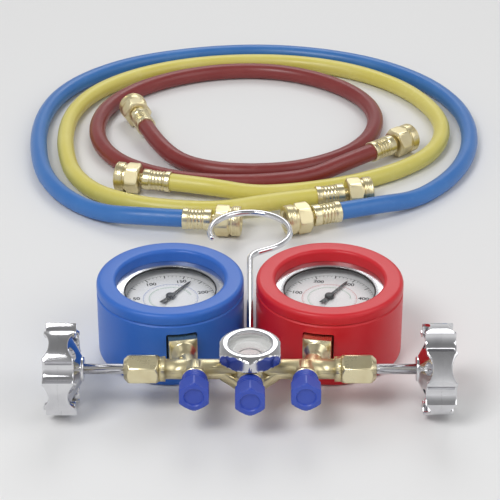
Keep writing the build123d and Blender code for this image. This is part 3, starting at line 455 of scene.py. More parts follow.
# ---- Meshes ----------------------------------------------------------------------


def mesh_of(work: bmesh.types.BMesh, name: str) -> bpy.types.Mesh:
    """Plain mesh of a finished bmesh, which it frees."""
    mesh = bpy.data.meshes.new(name)
    work.to_mesh(mesh)
    work.free()
    return mesh


def linked(name: str, data: bpy.types.ID) -> bpy.types.Object:
    """New object in the scene."""
    made = bpy.data.objects.new(name, data)
    bpy.context.scene.collection.objects.link(made)
    return made


def baked(subject: bpy.types.Object, *tools: bpy.types.Object) -> bpy.types.Mesh:
    """Plain mesh of an object with its modifiers.

    Args:
        subject: The object, which is removed.
        tools: Objects that its modifiers use, which are removed too.

    Returns:
        The mesh that it evaluates to.
    """
    bpy.context.view_layer.update()
    graph = bpy.context.evaluated_depsgraph_get()
    mesh = bpy.data.meshes.new_from_object(subject.evaluated_get(graph), depsgraph=graph)
    for used in (subject, *tools):
        bpy.data.objects.remove(used)
    return mesh


def joined(meshes: Iterable[bpy.types.Mesh], name: str) -> bpy.types.Mesh:
    """One mesh of several, each in its own place."""
    work = bmesh.new()
    for mesh in meshes:
        work.from_mesh(mesh)
    return mesh_of(work, name)


def placed(mesh: bpy.types.Mesh, place: Matrix) -> bpy.types.Mesh:
    """Moves a mesh's points by a placement."""
    mesh.transform(place)
    return mesh


def tidy_normals(mesh: bpy.types.Mesh) -> bpy.types.Mesh:
    """Merges doubled points and turns every face outwards."""
    work = bmesh.new()
    work.from_mesh(mesh)
    bmesh.ops.remove_doubles(work, verts=work.verts, dist=2e-7)
    bmesh.ops.recalc_face_normals(work, faces=work.faces)
    work.to_mesh(mesh)
    work.free()
    return mesh


def line_of(name: str, kind: str, points: Sequence[Vector]) -> bpy.types.Curve:
    """Open curve through or along some points.

    Args:
        name: The curve's name.
        kind: Its spline's type.
        points: Its points, in order.

    Returns:
        The curve.
    """
    curve = bpy.data.curves.new(name, "CURVE")
    curve.dimensions = "3D"
    spline = curve.splines.new(kind)
    spline.points.add(len(points) - 1)
    for control, point in zip(spline.points, points):
        control.co = (*point, 1.0)
    return curve


def frame_at(origin: Sequence[float], up: Sequence[float], across: Sequence[float] = (1, 0, 0)) -> Matrix:
    """Placement of a piece made round +Z.

    Args:
        origin: Where its origin goes.
        up: Where its +Z points.
        across: Roughly where its +X points.

    Returns:
        The placement.
    """
    z_axis = Vector(up).normalized()
    x_axis = Vector(across) - z_axis * Vector(across).dot(z_axis)
    x_axis.normalize()
    y_axis = z_axis.cross(x_axis)
    turned = Matrix((x_axis, y_axis, z_axis)).transposed().to_4x4()
    return Matrix.Translation(Vector(origin)) @ turned


def on_circle(radius: float, angle: float) -> Point:
    """The point at an angle, in radians, on a circle round the origin."""
    return radius * math.cos(angle), radius * math.sin(angle)


def slope(start: Point, stop: Point, shares: Iterable[float]) -> list[Point]:
    """Points on a straight part of a profile, so that flats cut it in several steps.

    Args:
        start: Where the part starts.
        stop: Where it ends.
        shares: How far along it each point lies, from 0 to 1.

    Returns:
        The points.
    """
    return [tuple(a + (b - a) * share for a, b in zip(start, stop)) for share in shares]


def soft_corners(points: Sequence[tuple[float, float, float]], steps: int = 5) -> list[Point]:
    """Rounds the corners of a closed profile.

    Args:
        points: Corner points with the radius of each corner.
        steps: Spans in each rounded corner.

    Returns:
        The profile's points.
    """
    tiny = 1e-9
    most_trim = 0.48  # share of a side that one corner may take
    rounded: list[Point] = []
    for place, (x, y, radius) in enumerate(points):
        corner = Vector((x, y))
        before = Vector(points[place - 1][:2]) - corner
        after = Vector(points[(place + 1) % len(points)][:2]) - corner
        if radius <= 0 or before.length < tiny or after.length < tiny:
            rounded.append((x, y))
            continue
        longest = min(before.length, after.length) * most_trim
        trim = min(radius / math.tan(before.angle(after) / 2), longest)
        start, stop = corner + before.normalized() * trim, corner + after.normalized() * trim
        for step in range(steps + 1):
            share = step / steps
            point = start * (1 - share) ** 2 + corner * 2 * share * (1 - share) + stop * share**2
            rounded.append((point.x, point.y))
    return rounded


@dataclass(frozen=True)
class Hexagon:
    """Six flats cut over part of a turned body's height."""

    across_flats: float
    start: float
    stop: float
    round_off: float  # share of each corner that is rounded away

    @property
    def corner(self) -> float:
        """Distance from the axis to a sharp corner."""
        return self.across_flats / math.sqrt(3)

    def covers(self, height: float) -> bool:
        """Whether the flats reach this height."""
        return self.start - 1e-9 <= height <= self.stop + 1e-9

    def reach(self, angle: float) -> float:
        """Distance from the axis to the flats at an angle, in radians."""
        pitch = math.pi / 3
        offset = (angle + pitch / 2) % pitch - pitch / 2
        middle = self.across_flats / 2
        return min(middle / math.cos(offset), self.corner - self.round_off * (self.corner - middle))


def round_body(profile: Sequence[Point], segments: int, flats: Hexagon | None = None) -> bpy.types.Mesh:
    """Closed solid swept round +Z, with flats cut over part of its height.

    Args:
        profile: Closed loop of (radius, height).
        segments: Steps round the axis.
        flats: The flats, if any.

    Returns:
        The mesh.
    """
    work = bmesh.new()
    rings: list[list[bmesh.types.BMVert]] = []
    for radius, height in profile:
        ring = []
        for step in range(segments):
            angle = 2 * math.pi * step / segments
            reach = min(radius, flats.reach(angle)) if flats and flats.covers(height) else radius
            ring.append(work.verts.new((*on_circle(reach, angle), height)))
        rings.append(ring)
    for place, ring in enumerate(rings):
        following = (place + 1) % len(rings)
        above = rings[following]
        if profile[place][0] == 0 and profile[following][0] == 0:
            continue
        for step in range(segments):
            after = (step + 1) % segments
            work.faces.new((ring[step], ring[after], above[after], above[step]))
    bmesh.ops.remove_doubles(work, verts=work.verts, dist=1e-7)
    bmesh.ops.dissolve_degenerate(work, edges=work.edges, dist=1e-8)
    bmesh.ops.recalc_face_normals(work, faces=work.faces)
    return mesh_of(work, "round_body")


def pin(radius: float, length: float, edges: Pair, segments: int) -> bpy.types.Mesh:
    """Short round bar with soft edges.

    Args:
        radius: Its radius.
        length: Its length along +Z.
        edges: Radius of its lower and its upper edge.
        segments: Steps round it.

    Returns:
        The mesh.
    """
    low, high = edges
    corners = [(0, 0, 0), (radius, 0, low), (radius, length, high), (0, length, 0)]
    return round_body(soft_corners(corners), segments)


# ---- Geometry trees -----------------------------------------------------------------


class Growth(Graph):
    """A geometry tree with named inputs that ends in one solid mesh of one material."""

    def __init__(self, name: str, inputs: dict[str, float | int]) -> None:
        """Starts the tree.

        Args:
            name: The tree's name.
            inputs: Its numbers, by name, with their defaults.
        """
        super().__init__(bpy.data.node_groups.new(name, "GeometryNodeTree"))
        sockets = self.tree.interface
        sockets.new_socket("Geometry", in_out="INPUT", socket_type="NodeSocketGeometry")
        self.keys: dict[str, str] = {}
        for label, default in inputs.items():
            kind = "NodeSocketInt" if isinstance(default, int) else "NodeSocketFloat"
            made = sockets.new_socket(label, in_out="INPUT", socket_type=kind)
            made.default_value = default
            self.keys[label] = made.identifier
        finish = sockets.new_socket("Finish", in_out="INPUT", socket_type="NodeSocketMaterial")
        self.keys["Finish"] = finish.identifier
        sockets.new_socket("Geometry", in_out="OUTPUT", socket_type="NodeSocketGeometry")
        self.entry = self.node("NodeGroupInput")

    def given(self, label: str) -> Field:
        """One of the tree's inputs."""
        return Field(self, self.entry.outputs[label])

    def end(self, geometry: bpy.types.NodeSocket) -> "Growth":
        """Realizes the result, gives it its material and closes the tree.

        Args:
            geometry: What the tree has made.

        Returns:
            The tree.
        """
        real = self.out("GeometryNodeRealizeInstances", {"Geometry": geometry})
        paint = self.out("GeometryNodeSetMaterial", {"Geometry": real, "Material": self.given("Finish")})
        self.node("NodeGroupOutput", {0: paint})
        return self

    def grow(self, seed: bpy.types.ID, finish: bpy.types.Material, **values: float | int) -> bpy.types.Mesh:
        """Runs the tree on a mesh or curve.

        Args:
            seed: The mesh or curve that the tree starts from.
            finish: The material.
            values: The tree's numbers; an underscore stands for a space.

        Returns:
            The plain mesh that it makes.
        """
        carrier = linked("carrier", seed)
        modifier = carrier.modifiers.new("growth", "NODES")
        modifier.node_group = self.tree
        modifier[self.keys["Finish"]] = finish
        for label, value in values.items():
            modifier[self.keys[label.replace("_", " ")]] = value
        return baked(carrier)


def ring_of_marks() -> Growth:
    """Small flat bars in an arc, for the divisions of a dial."""
    sizes = {"Length": 0.002, "Width": 0.0003, "Thickness": 0.00002}
    tree = Growth("ring_of_marks", {"Count": 11, "Radius": 0.02, "Start": 0.0, "Sweep": 4.7, **sizes})
    row = tree.out("GeometryNodeMeshLine", {"Count": tree.given("Count")})
    index = Field(tree, tree.out("GeometryNodeInputIndex"))
    angle = tree.given("Start") - index / (tree.given("Count") - 1.0) * tree.given("Sweep")
    reach = tree.given("Radius")
    spot = tree.vector(angle.called("COSINE") * reach, angle.called("SINE") * reach)
    spread = tree.out("GeometryNodeSetPosition", {"Geometry": row, "Position": spot})
    size = tree.vector(*[tree.given(label) for label in sizes])
    bar = tree.out("GeometryNodeMeshCube", {"Size": size})
    copies = {"Points": spread, "Instance": bar, "Rotation": tree.vector(z=angle)}
    return tree.end(tree.out("GeometryNodeInstanceOnPoints", copies))


def row_of_rings() -> Growth:
    """Round wire rings one behind another along +Z, for crimps and thread turns."""
    inputs = {"Count": 5, "Pitch": 0.002, "Start": 0.0, "Radius": 0.006, "Wire": 0.0005}
    tree = Growth("row_of_rings", inputs)
    step, start = tree.vector(z=tree.given("Pitch")), tree.vector(z=tree.given("Start"))
    line = {"Count": tree.given("Count"), "Start Location": start, "Offset": step}
    row = tree.out("GeometryNodeMeshLine", line)
    circle, wire = (
        tree.out("GeometryNodeCurvePrimitiveCircle", {"Resolution": steps, "Radius": tree.given(label)})
        for steps, label in ((64, "Radius"), (8, "Wire"))
    )
    ring = tree.out("GeometryNodeCurveToMesh", {"Curve": circle, "Profile Curve": wire})
    return tree.end(tree.out("GeometryNodeInstanceOnPoints", {"Points": row, "Instance": ring}))


def wire_along() -> Growth:
    """Round wire along the seed curve, closed at both ends."""
    tree = Growth("wire_along", {"Radius": 0.0018, "Sides": 32})
    round_section = {"Resolution": tree.given("Sides"), "Radius": tree.given("Radius")}
    section = tree.out("GeometryNodeCurvePrimitiveCircle", round_section)
    swept = {"Curve": tree.given("Geometry"), "Profile Curve": section, "Fill Caps": True}
    return tree.end(tree.out("GeometryNodeCurveToMesh", swept))


def lobed_rim() -> Growth:
    """Rim of a lobed handwheel round +Z: scalloped outline, edges that dip at the middle of each lobe."""
    around_steps, across_steps = 361, 49
    past_rim = 0.05  # stands in for the outline where no notch reaches
    tree = Growth(
        "lobed_rim",
        {
            "Radius": 0.024,
            "Lobes": 5,
            "Notch Radius": 0.006,
            "Notch Place": 0.0256,
            "Blend": 0.0022,
            "Wall": 0.0023,
            "Half Width": 0.008,
            "Saddle Radius": 0.012,
            "Saddle Depth": 0.003,
            "Round": 0.42,
        },
    )
    sheet = {"Size X": 1.0, "Size Y": 1.0, "Vertices X": around_steps, "Vertices Y": across_steps}
    grid = tree.out("GeometryNodeMeshGrid", sheet)
    along, around, _ = tree.parts(tree.out("GeometryNodeInputPosition"))
    angle = (along + 0.5) * (2 * math.pi)
    pitch = tree.maths("DIVIDE", 2 * math.pi, tree.given("Lobes"))
    from_notch = (angle + pitch * 0.5).called("FLOORED_MODULO", pitch) - pitch * 0.5
    centre = tree.given("Notch Place")
    sideways = centre * from_notch.called("SINE")
    inside = tree.given("Notch Radius") ** 2.0 - sideways * sideways
    notch = centre * from_notch.called("COSINE") - inside.called("MAXIMUM", 0.0).called("SQRT")
    open_here = inside.called("GREATER_THAN", 0.0)
    limit = notch * open_here + (1.0 - open_here) * past_rim
    outline = limit.called("SMOOTH_MIN", tree.given("Radius"), tree.given("Blend"))
    from_lobe = angle.called("FLOORED_MODULO", pitch) - pitch * 0.5
    across = outline * from_lobe
    reach = tree.given("Saddle Radius")
    dip = (reach**2.0 - across * across).called("MAXIMUM", 0.0).called("SQRT")
    dip = (dip - (reach - tree.given("Saddle Depth"))).called("MAXIMUM", 0.0)
    half = tree.given("Half Width") - dip
    turn = (around + 0.5) * (2 * math.pi)
    power = tree.given("Round")
    out, side = turn.called("COSINE"), turn.called("SINE")
    out = out.called("SIGN") * out.called("ABSOLUTE") ** power
    side = side.called("SIGN") * side.called("ABSOLUTE") ** (power * 0.6)
    radius = outline - tree.given("Wall") * 0.5 + out * (tree.given("Wall") * 0.5)
    spot = tree.vector(radius * angle.called("COSINE"), radius * angle.called("SINE"), side * half)
    shaped = tree.out("GeometryNodeSetPosition", {"Geometry": grid, "Position": spot})
    return tree.end(tree.out("GeometryNodeMergeByDistance", {"Geometry": shaped, "Distance": 0.000005}))


@dataclass(frozen=True)
class Marks:
    """Divisions printed in an arc, in millimetres."""

    count: int
    radius: float
    length: float
    width: float
    thickness: float = 0.02


class Workshop:
    """What every sub-assembly is made with: the materials, the geometry trees and the way onto a body."""

    def __init__(self) -> None:
        """Makes every material and tree once."""
        self.paints = {finish.name: finish.make() for finish in FINISHES}
        self.trees = {
            "marks": ring_of_marks(),
            "rings": row_of_rings(),
            "wire": wire_along(),
            "rim": lobed_rim(),
        }
        self.seed = bpy.data.meshes.new("seed")

    def rings(self, finish: str, **values: float | int) -> bpy.types.Mesh:
        """Row of wire rings, by the numbers of its tree."""
        return tidy_normals(self.trees["rings"].grow(self.seed, self.paints[finish], **values))

    def marks(self, marks: Marks, finish: str, start: float, sweep: float) -> bpy.types.Mesh:
        """Printed divisions round +Z.

        Args:
            marks: The divisions.
            finish: Their ink.
            start: Angle of the first, in radians, anticlockwise from +X.
            sweep: Angle from the first to the last, clockwise.

        Returns:
            The mesh.
        """
        return self.trees["marks"].grow(
            self.seed,
            self.paints[finish],
            Count=marks.count,
            Radius=marks.radius * MM,
            Start=start,
            Sweep=sweep,
            Length=marks.length * MM,
            Width=marks.width * MM,
            Thickness=marks.thickness * MM,
        )

    def add(
        self, name: str, mesh: bpy.types.Mesh, body: str, finish: str, slot: str, crease: float = CREASE
    ) -> bpy.types.Object:
        """Finishes a piece and fixes it to its body.

        Args:
            name: The piece's name.
            mesh: Its mesh, in place.
            body: The body it rides on.
            finish: Its finish.
            slot: The record's material slot; not used.
            crease: Angle above which an edge stays sharp, in degrees.

        Returns:
            The piece.
        """
        mesh.name = name
        mesh.materials.clear()
        mesh.materials.append(self.paints[finish])
        for polygon in mesh.polygons:
            polygon.material_index = 0
        mesh.shade_smooth()
        mesh.set_sharp_from_angle(angle=math.radians(crease))
        piece = linked(name, mesh)
        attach(piece, body)
        LOG.info("%s: %d faces", name, len(mesh.polygons))
        return piece

    def stand_in(
        self, node: str, made: str, mesh: bpy.types.Mesh, finish: str, crease: float = CREASE
    ) -> bpy.types.Object:
        """Puts a piece in the place of a CAD node, on the node's body.

        Args:
            node: The node.
            made: How the piece is made, the last word of its name.
            mesh: Its mesh, in place.
            finish: Its finish.
            crease: Angle above which an edge stays sharp, in degrees.

        Returns:
            The piece.
        """
        bodies = frame["record"]["behaviour"]["bodies"]
        body = next(name for name, nodes in bodies.items() if node in nodes)
        piece = self.add(f"{node}_{made}", mesh, body, finish, finish, crease)
        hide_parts(node)
        return piece

    def refine(self, finish: str, *nodes: str, crease: float = CREASE) -> None:
        """Puts smooth copies of CAD nodes in their places.

        Args:
            finish: Their finish.
            nodes: The nodes.
            crease: Angle above which an edge stays sharp, in degrees.
        """
        for node in nodes:
            self.stand_in(node, "fine", tidy_normals(frame["nodes"][node].data.copy()), finish, crease)


# ---- Sub-assemblies ------------------------------------------------------------------


@dataclass(frozen=True)
class Layout:
    """Places that the sub-assemblies share."""

    bar_y: float = -70.575 * MM
    bar_z: float = 24.5 * MM
    gauge_x: float = 43.3 * MM
    gauge_y: float = -10.575 * MM
    splay: float = math.radians(10.6658)  # turn of each gauge's socket away from the middle
    hose_back: float = 336.0 * MM  # from the bar to the middle of the hoses' loops

    def gauge_place(self, side: Side, height: float = 0.0) -> Matrix:
        """Placement at a gauge's centre whose -Y runs along its socket to the bar.

        Args:
            side: Which gauge.
            height: Height above the floor.

        Returns:
            The placement.
        """
        turn = Matrix.Rotation(-side.sign * self.splay, 4, "Z")
        return Matrix.Translation((side.sign * self.gauge_x, self.gauge_y, height)) @ turn


PLAN = Layout()
AHEAD = (0, -1, 0)  # way from the gauges to the ports


@dataclass
class Hose:
    """A charging hose with a brass end and a swivelling nut at each end."""

    shop: Workshop
    colour: str
    length: float
    route: tuple[Point, ...]
    radius: float = 5.5 * MM
    nut_height: float = 10.0 * MM
    ferrule_r: float = 6.6 * MM
    ferrule_len: float = 18.0 * MM
    crimp_from: float = 3.2 * MM
    crimp_to: float = 13.4 * MM
    crimp_depth: float = 0.7 * MM
    neck_r: float = 3.4 * MM
    neck_len: float = 7.0 * MM
    flange_r: float = 4.8 * MM
    flange_len: float = 2.0 * MM
    cone_r: float = 3.0 * MM
    cone_len: float = 2.5 * MM
    nut_start: float = 2.0 * MM
    nut_len: float = 16.0 * MM
    nut_hex: float = 9.0 * MM
    nut_round_r: float = 9.2 * MM
    nut_flats: float = 17.0 * MM
    nut_foot: Pair = (1.9 * MM, 1.1 * MM)  # chamfer inwards and up
    nut_top: Pair = (1.4 * MM, 1.0 * MM)  # chamfer inwards and down
    nut_back: float = 4.7 * MM
    nut_groove: float = 0.9 * MM
    thread_r: float = 5.6 * MM
    thread_pitch: float = 1.25 * MM
    bore_r: float = 2.0 * MM
    fit: float = 0.05 * MM

    def points(self) -> list[Vector]:
        """The route in space, in metres."""
        heights = [self.radius] * len(self.route)
        for place in (0, 1, -2, -1):
            heights[place] = self.nut_height
        middle = PLAN.bar_y + PLAN.hose_back
        return [Vector((x * MM, middle + y * MM, height)) for (x, y), height in zip(self.route, heights)]

    def tube(self) -> bpy.types.Object:
        """The jacket, a smooth line through the route."""
        name, rubber = f"{self.colour}_hose_jacket", f"{self.colour}_hose_rubber"
        curve = line_of(name, "NURBS", self.points())
        curve.resolution_u = 8
        curve.bevel_depth = self.radius
        curve.bevel_resolution = 7
        curve.use_fill_caps = True
        curve.splines[0].order_u = 3
        curve.splines[0].use_endpoint_u = True
        curve.materials.append(self.shop.paints[rubber])
        jacket = linked(name, curve)
        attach(jacket, f"{self.colour}_hose")
        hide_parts(f"{self.colour}_hose")
        return jacket

    def brass_end(self, end: str, place: Matrix) -> bpy.types.Object:
        """Crimped ferrule, swivel neck, flange and sealing cone.

        Args:
            end: Which end, first or last.
            place: Placement at the jacket's end, +Z outwards.

        Returns:
            The piece.
        """
        neck_end = self.ferrule_len + self.neck_len
        flange_end = neck_end + self.flange_len
        tip = flange_end + self.cone_len
        waist, step = self.ferrule_r - self.crimp_depth, 0.8 * MM
        corner = 0.4 * MM
        profile = [
            (0, 0, 0),
            (self.ferrule_r, 0, 0.5 * MM),
            (self.ferrule_r, self.crimp_from, corner),
            (waist, self.crimp_from + step, corner),
            (waist, self.crimp_to - step, corner),
            (self.ferrule_r, self.crimp_to, corner),
            (self.ferrule_r, self.ferrule_len, 0.9 * MM),
            (self.neck_r, self.ferrule_len, 0.3 * MM),
            (self.neck_r, neck_end, 0),
            (self.flange_r, neck_end, 0.2 * MM),
            (self.flange_r, flange_end, 0.2 * MM),
            (self.cone_r, tip, 0.3 * MM),
            (self.bore_r, tip, 0.2 * MM),
            (self.bore_r, self.ferrule_len, 0),
            (0, self.ferrule_len - 1 * MM, 0),
        ]
        body = round_body(soft_corners(profile, 4), 64)
        crimps = {"Count": 4, "Pitch": 2.2 * MM, "Start": 5.0 * MM, "Radius": waist, "Wire": 0.55 * MM}
        mesh = joined([body, self.shop.rings("turned_brass", **crimps)], "ferrule")
        node = f"{self.colour}_hose_{end}_end"
        return self.shop.stand_in(node, "crimped", placed(mesh, place), "turned_brass")

    def swivel_nut(self, end: str, place: Matrix) -> bpy.types.Object:
        """Hexagon nut with a grooved round skirt and a threaded mouth.

        Args:
            end: Which end, first or last.
            place: Placement at the jacket's end, +Z outwards.

        Returns:
            The piece.
        """
        back = self.ferrule_len + self.nut_start
        front = back + self.nut_len
        shoulder = back + self.nut_hex
        mouth_wall = back + self.nut_back
        flats = Hexagon(self.nut_flats, back, shoulder, 0.1)
        corner, skirt, neck = flats.corner, self.nut_round_r, self.neck_r + self.fit
        foot, foot_end = (corner - self.nut_foot[0], back), (corner, back + self.nut_foot[1])
        top, top_end = (corner, shoulder - self.nut_top[1]), (corner - self.nut_top[0], shoulder)
        profile = [
            (neck, back),
            foot,
            *slope(foot, foot_end, (0.25, 0.5, 0.75, 1.0)),
            top,
            *slope(top, top_end, (0.33, 0.66, 1.0)),
            (skirt - self.nut_groove, shoulder + 0.02 * MM),
            (skirt - self.nut_groove, shoulder + 0.9 * MM),
            (skirt - 0.2 * MM, shoulder + 1.3 * MM),
            (skirt, shoulder + 1.8 * MM),
            (skirt, front - 1.2 * MM),
            (skirt - 0.35 * MM, front - 0.35 * MM),
            (skirt - 1.2 * MM, front),
            (self.thread_r + 0.7 * MM, front),
            (self.thread_r, front - 0.8 * MM),
            (self.thread_r, mouth_wall),
            (neck, mouth_wall),
        ]
        ridges = {"Start": shoulder + 2.3 * MM, "Radius": skirt - 0.12 * MM, "Wire": 0.28 * MM}
        turns = {"Start": front - 6.0 * MM, "Radius": self.thread_r + 0.1 * MM, "Wire": 0.3 * MM}
        parts = [
            round_body(profile, 96, flats),
            self.shop.rings("nut_brass", Count=4, Pitch=1.2 * MM, **ridges),
            self.shop.rings("nut_brass", Count=5, Pitch=self.thread_pitch, **turns),
        ]
        node = f"{self.colour}_hose_{end}_nut"
        return self.shop.stand_in(node, "turned", placed(joined(parts, "nut"), place), "nut_brass")

    def build(self) -> None:
        points = self.points()
        jacket = self.tube()
        pieces = []
        for end, tip, inner in (("first", points[0], points[1]), ("last", points[-1], points[-2])):
            place = frame_at(tip, tip - inner, (0, 0, 1))
            pieces += [self.brass_end(end, place), self.swivel_nut(end, place)]
        LOG.info("%s hose: %d points", self.colour, len(points))


WHEEL_PHASES = {Side.LOW: 29.0, Side.HIGH: 69.0}  # turn of each wheel's first notch, in degrees


@dataclass
class Handwheel:
    """Chromed lobed handwheel: scalloped rim, conical web with round windows, hub and slotted screw."""

    shop: Workshop
    side: Side
    radius: float = 24.0 * MM
    lobes: int = 5
    lip_x: float = 89.8 * MM
    width: float = 16.0 * MM
    wall: float = 2.3 * MM
    notch_r: float = 6.0 * MM
    notch_proud: float = 1.6 * MM
    hub_r: float = 6.5 * MM
    hub_len: float = 12.0 * MM
    hub_proud: float = 3.8 * MM
    web: float = 1.8 * MM
    web_start: float = 1.2 * MM
    web_in: float = 4.6 * MM
    window_r: float = 3.4 * MM
    window_place: float = 14.0 * MM

    @property
    def pitch(self) -> float:
        """Angle from one notch to the next."""
        return 2 * math.pi / self.lobes

    def place(self) -> Matrix:
        """Placement at the hub's inner face, +Z outwards, +X through a notch."""
        phase = math.radians(WHEEL_PHASES[self.side])
        hub_x = self.side.sign * (self.lip_x - self.hub_proud)
        notch = (0, -math.cos(phase), math.sin(phase))
        return frame_at((hub_x, PLAN.bar_y, PLAN.bar_z), (self.side.sign, 0, 0), notch)

    def outline(self, angle: float, inset: float) -> float:
        """Distance from the axis to the rim's scalloped outline.

        Args:
            angle: Direction from a notch, in radians.
            inset: How far inside the outline.

        Returns:
            The distance.
        """
        turn = (angle + self.pitch / 2) % self.pitch - self.pitch / 2
        centre = self.radius + self.notch_proud
        hollow = (self.notch_r + inset) ** 2 - (centre * math.sin(turn)) ** 2
        reach = self.radius - inset
        return min(reach, centre * math.cos(turn) - math.sqrt(hollow)) if hollow > 0 else reach

    def cone(self, radius: float) -> float:
        """Height of the web's middle over the hub's face."""
        start = self.web_start + self.web / 2
        share = max(0.0, (radius - self.hub_r) / (self.radius - self.hub_r))
        return start + (self.hub_proud + self.width / 2 - start) * share

    def border(self, middle: float, steps: int = 32) -> list[Vector]:
        """Edge of one lobe's sector of the web, laid along +X.

        Args:
            middle: Direction of the lobe's middle.
            steps: Spans along the rim.

        Returns:
            The edge's corners.
        """
        half, side_y = self.pitch / 2, self.web_in * math.tan(self.pitch / 2)
        angles = [-half + self.pitch * step / steps for step in range(steps + 1)]
        rim = [Vector(on_circle(self.outline(middle + angle, self.wall * 0.6), angle)) for angle in angles]
        return [Vector((self.web_in, -side_y)), *rim, Vector((self.web_in, side_y))]

    @staticmethod
    def border_hit(centre: Vector, way: Vector, border: Sequence[Vector]) -> float:
        """Distance along a ray to a closed border.

        Args:
            centre: Where the ray starts.
            way: Its direction.
            border: The border's corners.

        Returns:
            The distance.
        """
        hits = []
        for place, start in enumerate(border):
            edge = border[(place + 1) % len(border)] - start
            across = way.cross(edge)
            if abs(across) < 1e-15:
                continue
            gap = start - centre
            reach, share = gap.cross(edge) / across, gap.cross(way) / across
            if reach > 0 and -1e-9 <= share <= 1 + 1e-9:
                hits.append(reach)
        return min(hits)

    def web_mesh(self, rays: int = 72, rings: int = 9) -> bpy.types.Mesh:
        """Conical web with a round window in each lobe.

        Args:
            rays: Steps round each window.
            rings: Steps from a window out to its sector's edge.

        Returns:
            The mesh.
        """
        work = bmesh.new()
        centre = Vector((self.window_place, 0))
        for lobe in range(self.lobes):
            middle = (lobe + 0.5) * self.pitch
            border = self.border(middle)
            rows = []
            for ray in range(rays):
                way = Vector(on_circle(1.0, 2 * math.pi * ray / rays))
                far = self.border_hit(centre, way, border)
                row = []
                for ring in range(rings):
                    spot = centre + way * (self.window_r + (far - self.window_r) * ring / (rings - 1))
                    turned = Matrix.Rotation(middle, 2) @ spot
                    row.append(work.verts.new((*turned, self.cone(spot.length))))
                rows.append(row)
            for ray, row in enumerate(rows):
                after = rows[(ray + 1) % rays]
                for ring in range(rings - 1):
                    work.faces.new((row[ring], row[ring + 1], after[ring + 1], after[ring]))
        bmesh.ops.recalc_face_normals(work, faces=work.faces)
        carrier = linked("web", mesh_of(work, "web"))
        thick = carrier.modifiers.new("thick", "SOLIDIFY")
        thick.thickness = self.web
        thick.offset = 0
        return baked(carrier)

    def build(self) -> None:
        """Builds the wheel, its stem and its screw."""
        rim = self.shop.trees["rim"].grow(
            self.shop.seed,
            self.shop.paints["chrome"],
            Radius=self.radius,
            Lobes=self.lobes,
            Notch_Radius=self.notch_r,
            Notch_Place=self.radius + self.notch_proud,
            Wall=self.wall,
            Half_Width=self.width / 2,
        )
        placed(tidy_normals(rim), Matrix.Translation((0, 0, self.hub_proud + self.width / 2)))
        hub = pin(self.hub_r, self.hub_len, (1.0 * MM, 1.2 * MM), 64)
        wheel = placed(joined([rim, self.web_mesh(), hub], "wheel"), self.place())
        self.shop.stand_in(self.side.node("handwheel"), "cast", wheel, "chrome", 40.0)
        self.shop.refine("chrome", self.side.node("valve_stem"))
        self.shop.refine("fine_steel", self.side.node("wheel_screw"))


DIAL_NUMBERS = {
    Side.LOW: ("0", "50", "100", "150", "200", "250"),
    Side.HIGH: ("0", "100", "200", "300", "400", "500"),
}


